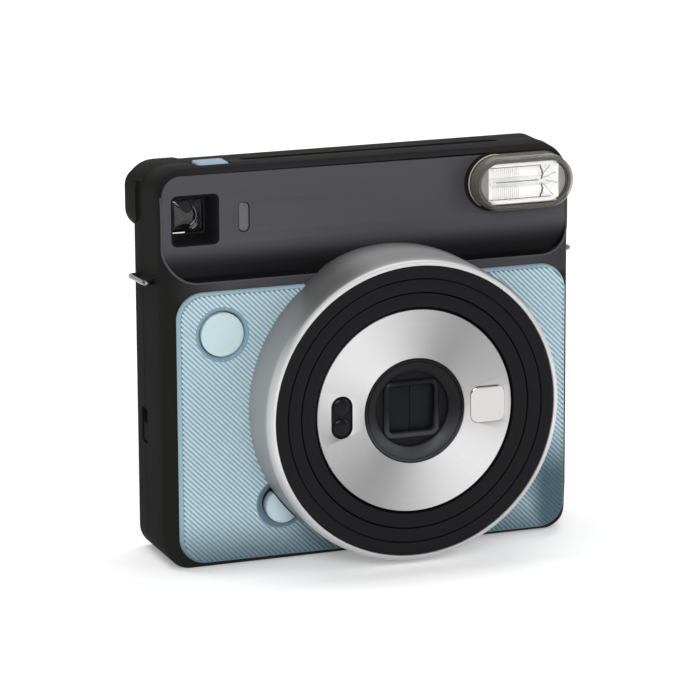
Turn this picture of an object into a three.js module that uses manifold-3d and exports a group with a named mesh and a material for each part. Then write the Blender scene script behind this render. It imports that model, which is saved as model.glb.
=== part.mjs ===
// Instant film camera, square format. Millimetres, +Z up, front of the camera faces -Y,
// origin at the bottom centre of the body. Every piece is its own closed solid.
import * as THREE from 'three';
import { mergeVertices } from 'three/addons/utils/BufferGeometryUtils.js';
import Module from 'manifold-3d';

// ---- driving dimensions ----
const W = 128.1;              // body width (X)
const H = 118.7;              // body height (Z)
const HW = W / 2;             // 64.05
const YR = 29.05;             // lens lip is at -YR, eyepiece housing at +YR
const Y_BACK = 21.8;          // main back face
const Y_FRONT = -9.0;         // lower front face of the front cover
const Y_STEP = -2.3;          // upper front face of the front cover
const Y_SEAM = 12.0;          // front cover ends here
const GAP = 0.3;              // gap between neighbouring pieces
const WALL = 2.2;             // shell wall
const R_TOP = 7.5, R_BOT = 7.2;// outline corner radii
const Z_SPLIT = 85.7;         // top of the lower front block
const LX = 6.06, LZ = 46.75;  // lens axis
const R_RING = 45.6, R_RING_IN = 43.7;
const R_HOUSE = 43.3, R_HOUSE_IN = 39.9;
const R_MID = 35.2, R_INNER = 30.75, R_FACE = 30.6;
const VF = { x: -53.2, z: 103.7, w: 14.7, h: 15.1 };      // viewfinder window
const LAMP = { x: -38.3, z: 103.6, w: 3.2, h: 8.7 };      // timer lamp window
const FL = { x: 47.6, z: 108.3, w: 31.8, h: 16.5 };       // flash window
const SB = { x: -47.4, z: 70.6, r: 6.5 };                 // shutter button
const PB = { x: -29.2, z: 17.2, r: 5.2 };                 // power button
const TB = { x: -45.05, y: 6.5, w: 9.4, d: 5.2 };         // top button
const SLOT = { x0: -35, x1: 46.4, y0: 5.4, y1: 10.9 };    // film exit slot
const TRIM = { x0: -38, x1: 49.4, y0: 3.1 };              // frame around the film exit slot
const HINGE = { x: 59.5, y: 19.6, r: 2.2 };               // film door hinge axis
const BAT = { x: -46, y: 2.0, r: 7.8 };                   // battery cells
const TRI = { x: 38, y: 1.2, ro: 5.5, ri: 3.175 };        // tripod bush
const ROL = { r: 4.05, yf: 4.7, yr: 13.1, z: 102 };       // film rollers
const PINW = 0.6;                                         // gear module

const wasm = await Module();
wasm.setup();

// ---- helpers ----
function fixed(g) {
  let q = g.index ? g.toNonIndexed() : g.clone();
  for (const k of Object.keys(q.attributes)) if (k !== 'position') q.deleteAttribute(k);
  q = mergeVertices(q, 1e-4);
  const p = q.attributes.position, ix = Array.from(q.index.array), out = [];
  let v = 0;
  const A = new THREE.Vector3(), B = new THREE.Vector3(), C = new THREE.Vector3();
  for (let i = 0; i < ix.length; i += 3) {
    const [a, b, c] = [ix[i], ix[i + 1], ix[i + 2]];
    if (a === b || b === c || a === c) continue;
    A.fromBufferAttribute(p, a); B.fromBufferAttribute(p, b); C.fromBufferAttribute(p, c);
    v += A.dot(B.clone().cross(C));
    out.push(a, b, c);
  }
  if (v < 0) for (let i = 0; i < out.length; i += 3) [out[i + 1], out[i + 2]] = [out[i + 2], out[i + 1]];
  return new wasm.Manifold(new wasm.Mesh({
    numProp: 3, vertProperties: Float32Array.from(p.array), triVerts: Uint32Array.from(out),
  }));
}
const shapeOf = (pts, holes = []) => {
  const s = new THREE.Shape(pts.map(([a, b]) => new THREE.Vector2(a, b)));
  for (const h of holes) s.holes.push(new THREE.Path(h.map(([a, b]) => new THREE.Vector2(a, b))));
  return s;
};
const ext = (s, d, o = {}) => new THREE.ExtrudeGeometry(s, { depth: d, bevelEnabled: false, steps: 1, ...o });
// outline given in (x, z), extruded along Y
function alongY(pts, y0, y1, holes) {
  const g = ext(shapeOf(pts, holes), y1 - y0);
  g.rotateX(Math.PI / 2); g.translate(0, y1, 0);
  return fixed(g);
}
// outline given in (x, y), extruded along Z
function alongZ(pts, z0, z1, holes) {
  const g = ext(shapeOf(pts, holes), z1 - z0);
  g.translate(0, 0, z0);
  return fixed(g);
}
// outline given in (y, z), extruded along X
function alongX(pts, x0, x1, holes) {
  const g = ext(shapeOf(pts, holes), x1 - x0);
  g.applyMatrix4(new THREE.Matrix4().makeBasis(
    new THREE.Vector3(0, 1, 0), new THREE.Vector3(0, 0, 1), new THREE.Vector3(1, 0, 0)));
  g.translate(x0, 0, 0);
  return fixed(g);
}
function box(x0, x1, y0, y1, z0, z1) {
  const g = new THREE.BoxGeometry(x1 - x0, y1 - y0, z1 - z0);
  g.translate((x0 + x1) / 2, (y0 + y1) / 2, (z0 + z1) / 2);
  return fixed(g);
}
const circ = (cx, cy, r, n, a0 = 0, a1 = 2 * Math.PI) => {
  const full = Math.abs(a1 - a0 - 2 * Math.PI) < 1e-9, out = [];
  for (let i = 0; i < (full ? n : n + 1); i++) {
    const a = a0 + (a1 - a0) * i / n;
    out.push([cx + r * Math.cos(a), cy + r * Math.sin(a)]);
  }
  return out;
};
// rounded rectangle: corner radii in the order top right, top left, bottom left, bottom right
function rrect(x0, x1, z0, z1, r, n = 4) {
  const [a, b, c, d] = Array.isArray(r) ? r : [r, r, r, r], P = Math.PI;
  return [
    ...circ(x1 - a, z1 - a, a, n, 0, P / 2), ...circ(x0 + b, z1 - b, b, n, P / 2, P),
    ...circ(x0 + c, z0 + c, c, n, P, 1.5 * P), ...circ(x1 - d, z0 + d, d, n, 1.5 * P, 2 * P)];
}
const rrc = (cx, cz, w, h, r, n) => rrect(cx - w / 2, cx + w / 2, cz - h / 2, cz + h / 2, r, n);
const stadium = (cx, cz, w, h, n = 8) => {
  const r = Math.min(w, h) / 2, e = 1e-3;
  return rrc(cx, cz, w, h, r - e, n);
};
// body of revolution about an axis parallel to Y; profile points are (radius, y)
function latheY(pts, n, cx = LX, cz = LZ) {
  const l = pts.map(([r, y]) => new THREE.Vector2(r, y));
  const onAxis = pts[0][0] === 0 && pts[pts.length - 1][0] === 0;
  if (!onAxis) l.push(l[0].clone());
  const g = new THREE.LatheGeometry(l, n);
  g.translate(cx, 0, cz);
  return fixed(g);
}
const cylY = (cx, cz, r, y0, y1, n = 24) => alongY(circ(cx, cz, r, n), y0, y1);
const cylZ = (cx, cy, r, z0, z1, n = 24) => alongZ(circ(cx, cy, r, n), z0, z1);
const cylX = (cy, cz, r, x0, x1, n = 24) => alongX(circ(cy, cz, r, n), x0, x1);

const root = new THREE.Group();
const COL = {
  black: [0x17171a, 0.55, 0.0], graphite: [0x4a4a50, 0.42, 0.35], blue: [0x9cc4d2, 0.5, 0.05],
  silver: [0xc9c9c7, 0.3, 0.95], dark: [0x0e0e10, 0.5, 0.0], glass: [0xdfe6ea, 0.05, 0.0],
  steel: [0xa8aaad, 0.35, 0.9], brass: [0xb59a5a, 0.35, 0.9], green: [0x1f4a35, 0.6, 0.0],
  rubber: [0x222224, 0.85, 0.0], mirror: [0xe8e0dc, 0.06, 1.0], white: [0xe6e6e2, 0.5, 0.0],
  lamp: [0x6a5c54, 0.25, 0.0], cell: [0x6f7f8a, 0.4, 0.4],
};
function add(name, man, kind) {
  const m = man.getMesh();
  const g = new THREE.BufferGeometry();
  g.setAttribute('position', new THREE.BufferAttribute(new Float32Array(m.vertProperties), 3));
  g.setIndex(new THREE.BufferAttribute(new Uint32Array(m.triVerts), 1));
  g.computeVertexNormals();
  const [c, r, q] = COL[kind];
  const mesh = new THREE.Mesh(g, new THREE.MeshStandardMaterial({ color: c, roughness: r, metalness: q }));
  mesh.name = name;
  root.add(mesh);
  return mesh;
}

// ---- shells ----
const outline = rrect(-HW, HW, 0, H, [R_TOP, R_TOP, R_BOT, R_BOT], 5);
const inline = rrect(-HW + WALL, HW - WALL, WALL, H - WALL, [5.3, 5.3, 5, 5], 4);
// the top falls away towards the back
const above = alongX([[3, H], [8.5, 117.95], [12.15, 117.7], [21.8, 117.35], [YR, 116.4], [40, 116.4], [40, 130], [3, 130]], -70, 70);
{
  // lower block: front edges broken at the sides and along the bottom
  const c = 4.5, plan = [[-HW, Y_SEAM + 1], [-HW, Y_FRONT + c], [-HW + 1.35, Y_FRONT + 1.3], [-HW + c, Y_FRONT],
    [HW - c, Y_FRONT], [HW - 1.35, Y_FRONT + 1.3], [HW, Y_FRONT + c], [HW, Y_SEAM + 1]];
  const prof = [[Y_SEAM + 1, 0], [Y_SEAM + 1, Z_SPLIT], [Y_FRONT, Z_SPLIT], [Y_FRONT, 2], [Y_FRONT + 0.6, 0.6], [Y_FRONT + 2, 0]];
  const lower = alongY(outline, Y_FRONT, Y_SEAM).intersect(alongZ(plan.slice().reverse(), -1, 86)).intersect(alongX(prof, -70, 70));
  const upper = alongY(outline, Y_STEP, Y_SEAM);
  let f = lower.add(upper);
  f = f.subtract(alongY(inline, -6.8, 20).intersect(box(-70, 70, -7, 20, 0, 83.4)));
  f = f.subtract(alongY(inline, -0.1, 20));
  f = f.subtract(cylY(LX, LZ, R_HOUSE + GAP, -12, -1, 48).intersect(box(-70, 70, -12, -2.35, 0, 83)));
  f = f.subtract(cylY(LX, LZ, R_RING + GAP, -12, -2.35, 48).intersect(box(-70, 70, -12, 0, 82.9, 100)));
  f = f.subtract(alongY(rrc(VF.x, VF.z, VF.w, VF.h, 1.5, 2), -4, 1));
  f = f.subtract(cylY(SB.x, SB.z, SB.r + GAP, -12, -6, 24));
  f = f.subtract(cylY(PB.x, PB.z, PB.r + GAP, -12, -6, 20).subtract(cylY(LX, LZ, R_RING + GAP, -12, -5, 48)));
  // seat of the film slot trim, open at the seam
  f = f.subtract(box(TRIM.x0 - 0.2, TRIM.x1 + 0.2, TRIM.y0 - 0.2, Y_SEAM + 1, 116.2, 120));
  f = f.subtract(alongZ(rrect(TB.x - TB.w / 2 - GAP, TB.x + TB.w / 2 + GAP, TB.y - TB.d / 2 - GAP, TB.y + TB.d / 2 + GAP, 1, 2), 115, 125));
  f = f.subtract(box(BAT.x - 7.8, BAT.x + 7.8, -4.9, 10.1, -1, 3)).subtract(box(BAT.x - 7.8, BAT.x + 7.8, 10, 11.4, -1, 1.3))
    .subtract(cylX(10.1, 1.3, 1.3, BAT.x - 7.8, BAT.x + 7.8, 16));
  f = f.subtract(cylZ(TRI.x, TRI.y, TRI.ro + GAP, -1, 3, 24));
  for (const x of [-22, 26]) f = f.subtract(cylZ(x, 3, 1.9, -1, 1.4, 12)).subtract(cylZ(x, 3, 1.0, -1, 4, 12));
  f = f.subtract(box(-66, -60, 9.9, 15.2, 34.1, 44.7));
  for (const s of [-1, 1]) f = f.subtract(cylX(2.0, 84.9, 1.05, s > 0 ? 61 : -66, s > 0 ? 66 : -61, 8));
  add('front_cover', f.subtract(above), 'black');
  // the film leaves through a narrow frame set into the top wall
  add('film_slot_trim', box(TRIM.x0, TRIM.x1, TRIM.y0, Y_SEAM, 116.5, H)
    .subtract(alongZ(rrect(SLOT.x0, SLOT.x1, SLOT.y0, SLOT.y1, 1, 2), 115, 125)).subtract(above), 'black');
}
{
  const yb = Y_SEAM + GAP;
  const c = 3.2, plan = [[-HW, yb - 1], [HW, yb - 1], [HW, Y_BACK - c], [HW - 1, Y_BACK - 1], [HW - c, Y_BACK],
    [-HW + c, Y_BACK], [-HW + 1, Y_BACK - 1], [-HW, Y_BACK - c]];
  let r = alongY(outline, yb, Y_BACK).intersect(alongZ(plan, -1, 120));
  const hump = rrect(-HW, -46.9, 96.6, H, [2, R_TOP, 3, 3], 3);
  r = r.add(alongY(hump, Y_BACK - 4, YR));
  r = r.subtract(alongY(inline, 5, 19.6).intersect(box(-70, 70, 5, 20, 0, 115)));
  r = r.subtract(box(-58.3, HINGE.x, 17, 23, 3.5, 94.5)).subtract(cylZ(HINGE.x, HINGE.y, HINGE.r + 0.35, 3.5, 94.5, 24));
  // room for the open door beside its hinge
  r = r.subtract(box(HINGE.x, HINGE.x + 2.75, HINGE.y - 0.1, 24, 3.5, 94.5));
  r = r.add(box(57.3, 62.2, 17.4, 20, 94.5, 97)).add(box(57.3, 62.2, 17.4, 20, 2, 3.5));
  r = r.subtract(cylZ(HINGE.x, HINGE.y, 1.15, 2.3, 96, 12));
  r = r.subtract(cylY(-54, 104.7, 5.0, 15, 30, 24));
  r = r.subtract(box(-66, -60, 9.9, 15.2, 34.1, 44.7));
  for (const s of [-1, 1]) r = r.subtract(cylX(16.4, 84.1, 1.05, s > 0 ? 61 : -66, s > 0 ? 66 : -61, 8));
  for (const x of [0, 14, 28]) r = r.subtract(cylY(x, 108, 3.3, 19, 23, 20));
  r = r.subtract(alongY(rrect(-30.3, -9.7, 105.7, 110.3, 0.8, 2), 19, 23));
  add('rear_cover', r.subtract(above), 'black');
}
{
  const prof = [[-2.6, 116.9], [-5, 116.9], [-5, 96.5], [-5.25, 93.6], [-5.9, 91], [-7.0, 88.6], [-8.9, 86], [-2.6, 86]];
  let p = alongX(prof, -63.4, 63.4).intersect(alongY(rrect(-63.4, 63.4, 86, 116.9, [6, 6, 10, 10], 4), -12, 0));
  p = p.subtract(cylY(LX, LZ, R_RING + GAP, -12, 0, 48));
  p = p.subtract(alongY(rrc(VF.x, VF.z, VF.w, VF.h, 1.5, 2), -12, 0));
  p = p.subtract(alongY(stadium(LAMP.x, LAMP.z, LAMP.w + 0.5, LAMP.h + 0.5, 4), -12, 0));
  p = p.subtract(alongY(stadium(FL.x, FL.z, 27.6, 12.9, 5), -12, 0));
  add('upper_front_panel', p, 'graphite');
}
{
  let p = alongY(rrect(-60.8, 61.2, 1.8, 82.7, 8, 5), -11, -9.3);
  p = p.subtract(cylY(LX, LZ, R_HOUSE + GAP, -12, 0, 48));
  p = p.subtract(cylY(SB.x, SB.z, SB.r + GAP, -12, 0, 24));
  p = p.subtract(cylY(PB.x, PB.z, PB.r + GAP, -12, 0, 20).subtract(cylY(LX, LZ, R_RING + GAP, -12, 0, 48)));
  add('front_grip_panel', p, 'blue');
}

// ---- lens, fixed pieces ----
{
  let r = latheY([[R_RING, -11.3], [R_RING - 0.1, -28.4], [R_RING - 0.6, -YR], [R_RING_IN + 0.4, -YR], [R_RING_IN, -28.5], [R_RING_IN, -11.3]], 40);
  const skirt = latheY([[R_RING, -12], [R_RING, -4.8], [R_RING_IN, -4.8], [R_RING_IN, -12]], 40).intersect(box(-60, 60, -12, -4.8, 83.25, 100));
  add('lens_ring', r.add(skirt), 'silver');
}
{
  let h = latheY([[35.55, -28.5], [39.4, -28.75], [39.4, -28.3], [39.7, -28.3], [39.7, -28.77], [R_HOUSE, -28.9], [R_HOUSE, -4],
    [R_HOUSE_IN, -4], [R_HOUSE_IN, -25], [35.55, -25]], 40);
  const fl = latheY([[45.5, -6.5], [45.5, -5], [42, -5], [42, -6.5]], 40).intersect(box(-60, 60, -7, -4.5, 2.6, 82.4));
  add('lens_housing', h.add(fl), 'dark');
}
// ---- lens, moving pieces ----
add('mid_barrel', latheY([[31.1, -28.4], [R_MID, -28.45], [R_MID, -8], [39.5, -8], [39.5, -6], [31.1, -6]], 36), 'dark');
add('inner_barrel', latheY([[15.9, -26.3], [R_INNER, -26.3], [R_INNER, -7], [28, -7], [28, -24.8], [15.9, -24.8]], 36), 'dark');
{
  let p = latheY([[15.6, -27.6], [R_FACE, -27.6], [R_FACE, -26.6], [15.6, -26.6]], 40);
  p = p.subtract(alongY(rrc(28.9, LZ, 10.6 + 0.6, 10.8 + 0.6, 2.5, 3), -29, -26));
  p = p.subtract(alongY(stadium(-16.7, LZ, 6.3 + 0.6, 12.5 + 0.6, 4), -29, -26));
  add('face_plate', p, 'silver');
}
add('selfie_mirror', alongY(rrc(28.9, LZ, 10.6, 10.8, 2.3, 3), -27.9, -26.7), 'mirror');
add('sensor_window', alongY(stadium(-16.7, LZ, 6.3, 12.5, 5), -27.5, -26.7), 'glass');
add('lens_bezel', latheY([[14.9, -27.4], [15.3, -27.2], [15.3, -24.5], [11.45, -24.5], [11.45, -26.0]], 32), 'dark');
{
  const sq = rrc(LX, LZ, 14.2, 14.2, 1.5, 2);
  let b = alongY(circ(LX, LZ, 15.3, 32), -24.2, -23.2).add(alongY(rrc(LX, LZ, 17.2, 17.2, 2.5, 2), -25.3, -24.1));
  add('barrier_frame', b.subtract(alongY(sq, -26, -23)), 'dark');
}
add('barrier_leaf_left', box(LX - 7.9, LX - 0.1, -22.8, -22.1, LZ - 7.9, LZ + 7.9), 'black');
add('barrier_leaf_right', box(LX + 0.1, LX + 7.9, -22.8, -22.1, LZ - 7.9, LZ + 7.9), 'black');
add('lens_cell', latheY([[7.5, -21.6], [14, -21.6], [14, -17], [24, -17], [24, -15.5], [14, -15.5], [14, -12.2], [7.5, -12.2]], 28), 'dark');
add('front_lens_element', latheY([[0, -21], [3.6, -20.7], [7.2, -19.6], [7.2, -18.6], [0, -18.6]], 20), 'glass');
add('rear_lens_element', latheY([[0, -15], [7.2, -15], [7.2, -14], [3.6, -13.1], [0, -12.8]], 20), 'glass');
add('shutter_plate', latheY([[8, -11.7], [27.6, -11.7], [27.6, -10.7], [8, -10.7]], 28), 'steel');
{
  const blade = (s, y) => {
    const d = circ(LX, LZ, 8.6, 16, s > 0 ? -Math.PI / 2 : Math.PI / 2, s > 0 ? Math.PI / 2 : 1.5 * Math.PI);
    const half = alongY(d, y, y + 0.5).add(box(LX - (s > 0 ? 0.7 : 0.1), LX + (s > 0 ? 0.1 : 0.7), y, y + 0.5, LZ - 8.4, LZ + 8.4));
    const arm = box(LX + s * 4 - 1.8, LX + s * 4 + 1.8, y, y + 0.5, LZ - 18, LZ - 4).add(cylY(LX + s * 4, LZ - 18, 2.2, y, y + 0.5, 12));
    return half.add(arm);
  };
  add('shutter_blade_left', blade(-1, -10.2), 'steel');
  add('shutter_blade_right', blade(1, -9.3), 'steel');
}

// ---- viewfinder ----
add('viewfinder_tunnel', alongY(rrc(VF.x, VF.z, VF.w - 0.6, VF.h - 0.6, 1.2, 2), -4.6, 19.2, [rrc(VF.x, VF.z, VF.w - 2.6, VF.h - 2.6, 0.6, 2)]), 'dark');
add('viewfinder_front_lens', alongY(rrc(VF.x, VF.z, VF.w - 3.2, VF.h - 3.2, 0.5, 2), 1.0, 3.2), 'glass');
add('viewfinder_eyepiece', latheY([[0, 26.2], [4.7, 26.2], [4.7, 28], [0, 28.4]], 20, -54, 104.7), 'glass');

// ---- flash ----
{
  const outer = alongY(stadium(FL.x, FL.z, FL.w, FL.h, 6), -10.6, -5.3).add(alongY(stadium(FL.x, FL.z, FL.w - 2.2, FL.h - 2.2, 6), -12, -10.5));
  add('flash_window', outer.subtract(alongY(stadium(FL.x, FL.z, FL.w - 3.2, FL.h - 3.2, 6), -10.9, -5)), 'glass');
}
{
  const st = (w, h, y0, y1) => alongY(stadium(FL.x, FL.z, w, h, 5), y0, y1);
  let r = st(27.0, 12.3, -10.4, -2.9);
  r = r.subtract(st(25.0, 10.3, -11, -7.6)).subtract(alongX(circ(-7.8, FL.z, 4.3, 16), FL.x - 10.5, FL.x + 10.5));
  add('flash_reflector', r, 'mirror');
}
add('flash_tube', cylX(-6.4, FL.z, 1.5, FL.x - 10, FL.x + 10, 12), 'glass');
add('timer_lamp_window', alongY(stadium(LAMP.x, LAMP.z, LAMP.w, LAMP.h, 4), -5.1, -2.9), 'lamp');

// ---- film path and drive ----
{
  const c = alongY(rrect(-35, 46.2, 8.6, 97.5, 1, 2), 5, 6.9, [rrc(LX, LZ, 62, 62, 1, 2)]);
  add('film_chassis', c, 'black');
}
{
  // four-sided funnel between the lens and the image aperture
  const loft = (a, b, y0, y1) => {
    const g = new THREE.CylinderGeometry(a * Math.SQRT2, b * Math.SQRT2, y1 - y0, 4, 1);
    g.rotateY(Math.PI / 4); g.translate(LX, (y0 + y1) / 2, LZ);
    return fixed(g);
  };
  add('light_baffle', loft(33, 22.5, -3.6, 4.7).subtract(loft(32.2, 20.2, -4.6, 5.7)), 'dark');
}
{
  const p = box(-31.7, 43.8, 7.2, 17.1, 6, 97).subtract(alongY(rrc(LX, LZ, 62, 62, 1, 2), 7, 8.3));
  add('film_pack', p, 'black');
}
add('film_claw', box(45, 46, 8, 10, 10, 30).add(box(44.2, 45.2, 8, 10, 10, 12)), 'steel');
// spur gears share one module; PINW * teeth / 2 is the pitch radius
const gearPts = (n, cy, cz, ph) => {
  const rp = PINW * n / 2, rt = rp + 0.42, rr = rp - 0.62, t = Math.PI / n, out = [];
  for (let i = 0; i < n; i++) {
    const a = ph + 2 * t * i;
    for (const [r, d] of [[rr, -0.5], [rt, -0.2], [rt, 0.2], [rr, 0.5]]) out.push([cy + r * Math.cos(a + d * t), cz + r * Math.sin(a + d * t)]);
  }
  return out;
};
const mesh2 = (phA, nA, nB, th) => {
  const step = 2 * Math.PI / nA, near = phA + Math.round((th - phA) / step) * step;
  return th + Math.PI - (near - th) * nA / nB + Math.PI / nB;
};
const IDL = { y: 6.4, z: 93.16 }, PIN = { y: 6.4, z: 85.3 };
const phF = 0, phR = mesh2(phF, 14, 14, 0);
const thI = Math.atan2(IDL.z - ROL.z, IDL.y - ROL.yf), phI = mesh2(phF, 14, 16, thI), phP = mesh2(phI, 16, 10, -Math.PI / 2);
const roller = (y, ph) => cylX(y, ROL.z, ROL.r, -38.3, 46.3, 24).add(cylX(y, ROL.z, 1.2, -40.8, 52.6, 12)).add(alongX(gearPts(14, y, ROL.z, ph), 49.2, 51.8));
add('roller_front', roller(ROL.yf, phF), 'steel');
add('roller_rear', roller(ROL.yr, phR), 'steel');
add('idler_gear', alongX(gearPts(16, IDL.y, IDL.z, phI), 49.2, 51.8).add(cylX(IDL.y, IDL.z, 1.1, 46.5, 50, 12)), 'white');
add('motor_pinion', alongX(gearPts(10, PIN.y, PIN.z, phP), 49.2, 51.8, [circ(PIN.y, PIN.z, 1.3, 12)]), 'brass');
add('drive_motor', cylX(PIN.y, PIN.z, 5.9, 52.3, 61.4, 20).add(cylX(PIN.y, PIN.z, 0.9, 48.6, 53, 10)), 'steel');
{
  const left = box(-40, -38.6, 0.4, 17.2, 97.9, 107.9);
  const right = box(46.6, 48, 0.4, 17.2, 97.9, 107.9).add(box(46.6, 48, 3.4, 9.4, 90.5, 98));
  let b = left.add(right).add(box(-39, 47, 13.4, 17.2, 106.7, 107.9));
  for (const y of [ROL.yf, ROL.yr]) b = b.subtract(cylX(y, ROL.z, 1.5, -42, -38, 12)).subtract(cylX(y, ROL.z, 1.5, 46, 49, 12));
  b = b.subtract(cylX(IDL.y, IDL.z, 1.4, 46, 49, 12));
  add('roller_bracket', b, 'steel');
}
add('main_circuit_board', box(-34, 26, 1, 2.6, 108, 116.1), 'green');

// ---- power ----
add('battery_lower', cylZ(BAT.x, BAT.y, BAT.r, 5.8, 32.4, 24).add(cylZ(BAT.x, BAT.y, 3, 32.3, 33, 12)), 'cell');
add('battery_upper', cylZ(BAT.x, BAT.y, BAT.r, 33.4, 60, 24).add(cylZ(BAT.x, BAT.y, 3, 59.9, 60.6, 12)), 'cell');
add('flash_capacitor', cylZ(54.8, 3, 6.3, 28, 60, 20), 'black');

// ---- fittings ----
add('tripod_bush', cylZ(TRI.x, TRI.y, TRI.ro, 0, 8.1, 24).add(cylZ(TRI.x, TRI.y, 7.2, 2.5, 4, 24)).subtract(cylZ(TRI.x, TRI.y, TRI.ri, -1, 9, 16)), 'steel');
for (const [n, x] of [['left', -22], ['right', 26]]) {
  add('cover_screw_' + n, cylZ(x, 3, 1.6, 0.3, 1.1, 12).add(cylZ(x, 3, 0.7, 1, 6.5, 8)), 'steel');
}
for (const s of [-1, 1]) {
  const P = (x, y) => new THREE.Vector3(s * x, y, 84.9 - 0.8 * (y - 2) / 14.4);
  const path = new THREE.CatmullRomCurve3([P(62.2, 2), P(64.6, 2), P(66.1, 2.15), P(66.85, 2.9), P(66.95, 4.6), P(66.95, 9.2), P(66.95, 13.8), P(66.85, 15.5), P(66.1, 16.25), P(64.6, 16.4), P(62.2, 16.4)], false, 'centripetal');
  const sec = shapeOf(circ(0, 0, 0.75, 6));
  add(s < 0 ? 'strap_lug_left' : 'strap_lug_right', fixed(new THREE.ExtrudeGeometry(sec, { steps: 20, extrudePath: path, bevelEnabled: false })), 'steel');
}

// ---- buttons ----
add('shutter_button', cylY(SB.x, SB.z, SB.r, -11.6, -6.3, 24).add(cylY(SB.x, SB.z, 7.5, -6.4, -5.4, 24)), 'blue');
add('power_button', cylY(PB.x, PB.z, PB.r, -12.4, -6, 20).subtract(cylY(LX, LZ, R_RING + 0.6, -14, -5, 48)), 'blue');
add('top_button', alongZ(rrect(TB.x - TB.w / 2, TB.x + TB.w / 2, TB.y - TB.d / 2, TB.y + TB.d / 2, 0.8, 2), 115.6, 119.4), 'blue');
for (const [n, x] of [['mode', 0], ['flash', 14], ['timer', 28]]) {
  add(n + '_button', cylY(x, 108, 3, 18.9, 22.3, 16).add(cylY(x, 108, 3.8, 18.3, 19.1, 16)), 'black');
}
add('mode_light_strip', alongY(rrect(-30, -10, 106, 110, 0.6, 2), 19.7, 21.9), 'lamp');

// ---- doors and latch ----
{
  const p = [[-58, 17.4], ...circ(HINGE.x, HINGE.y, HINGE.r, 10, -Math.PI / 2, Math.PI / 2), [-58, 21.8]];
  let d = alongZ(p, 3.8, 94.2, [circ(HINGE.x, HINGE.y, 1.15, 12)]);
  d = d.subtract(alongY(rrect(-0.3, 12.3, 44.7, 70.3, 1.5, 2), 17, 23));
  add('film_door', d, 'black');
}
add('film_window', alongY(rrect(0, 12, 45, 70, 1.2, 2), 17.7, 21.5), 'lamp');
add('door_hinge_pin', cylZ(HINGE.x, HINGE.y, 0.85, 2.6, 95.6, 12), 'steel');
add('door_latch', box(-63.9, -61.2, 10.3, 14.8, 34.4, 40.4).add(box(-61.4, -60.2, 9.4, 15.8, 31, 43.6)), 'black');
{
  const p = [[-4.6, 0.4], ...circ(10.1, 1.3, 0.9, 8, -Math.PI / 2, Math.PI / 2), [-4.6, 2.2]];
  add('battery_door', alongX(p, BAT.x - 7.5, BAT.x + 7.5), 'black');
}

export default root;
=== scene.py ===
import bpy, bmesh, math
from mathutils import Vector, Matrix


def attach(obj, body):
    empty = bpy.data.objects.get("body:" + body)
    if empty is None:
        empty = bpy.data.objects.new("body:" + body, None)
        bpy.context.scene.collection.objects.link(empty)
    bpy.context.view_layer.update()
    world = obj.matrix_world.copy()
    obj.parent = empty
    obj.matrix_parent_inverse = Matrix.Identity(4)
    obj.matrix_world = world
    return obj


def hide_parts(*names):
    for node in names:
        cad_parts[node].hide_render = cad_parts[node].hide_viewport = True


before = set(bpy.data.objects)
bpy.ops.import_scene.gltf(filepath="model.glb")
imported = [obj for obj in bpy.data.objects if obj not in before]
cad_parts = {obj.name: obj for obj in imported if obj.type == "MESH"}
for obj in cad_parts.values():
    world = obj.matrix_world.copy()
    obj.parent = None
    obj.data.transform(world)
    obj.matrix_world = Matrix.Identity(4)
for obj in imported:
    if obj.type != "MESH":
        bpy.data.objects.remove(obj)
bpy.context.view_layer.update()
ROOT = "camera_body"
MM = 0.001
LX, LZ = 6.06, 46.75
PI = math.pi

# ------------------------------------------------------------------ mesh helpers
def finish(ob, angle=30.0, merge=1e-7):
    me = ob.data
    bm = bmesh.new(); bm.from_mesh(me)
    bmesh.ops.remove_doubles(bm, verts=bm.verts, dist=merge)
    bmesh.ops.dissolve_degenerate(bm, edges=bm.edges, dist=1e-8)
    bmesh.ops.recalc_face_normals(bm, faces=bm.faces)
    bm.to_mesh(me); bm.free()
    me.shade_smooth()
    me.set_sharp_from_angle(angle=math.radians(angle))
    me.update()
    return ob


def new_obj(name, verts, faces, scale=MM):
    me = bpy.data.meshes.new(name)
    me.from_pydata([(x * scale, y * scale, z * scale) for x, y, z in verts], [], faces)
    me.update()
    ob = bpy.data.objects.new(name, me)
    bpy.context.collection.objects.link(ob)
    return ob


def raw_recalc(ob):
    bm = bmesh.new(); bm.from_mesh(ob.data)
    bmesh.ops.remove_doubles(bm, verts=bm.verts, dist=1e-7)
    bmesh.ops.recalc_face_normals(bm, faces=bm.faces)
    bm.to_mesh(ob.data); bm.free()
    return ob


def apply_mods(ob):
    dg = bpy.context.evaluated_depsgraph_get()
    me = bpy.data.meshes.new_from_object(ob.evaluated_get(dg), depsgraph=dg)
    old = ob.data
    ob.modifiers.clear()
    ob.data = me
    bpy.data.meshes.remove(old)
    return ob


def cut(ob, cutters, op="DIFFERENCE", keep=False):
    for c in cutters:
        m = ob.modifiers.new("b", "BOOLEAN")
        m.operation = op
        m.solver = "EXACT"
        m.object = c
        bpy.context.view_layer.update()
        apply_mods(ob)
    if not keep:
        for c in cutters:
            d = c.data
            bpy.data.objects.remove(c)
            bpy.data.meshes.remove(d)
    return ob


def bevel(ob, w, seg=2, angle=35, harden=False):
    m = ob.modifiers.new("bv", "BEVEL")
    m.width = w * MM
    m.segments = seg
    m.limit_method = "ANGLE"
    m.angle_limit = math.radians(angle)
    m.use_clamp_overlap = True
    m.harden_normals = harden
    bpy.context.view_layer.update()
    return apply_mods(ob)


def arc(cx, cy, r, a0, a1, n):
    return [(cx + r * math.cos(a0 + (a1 - a0) * i / n), cy + r * math.sin(a0 + (a1 - a0) * i / n)) for i in range(n + 1)]


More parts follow.
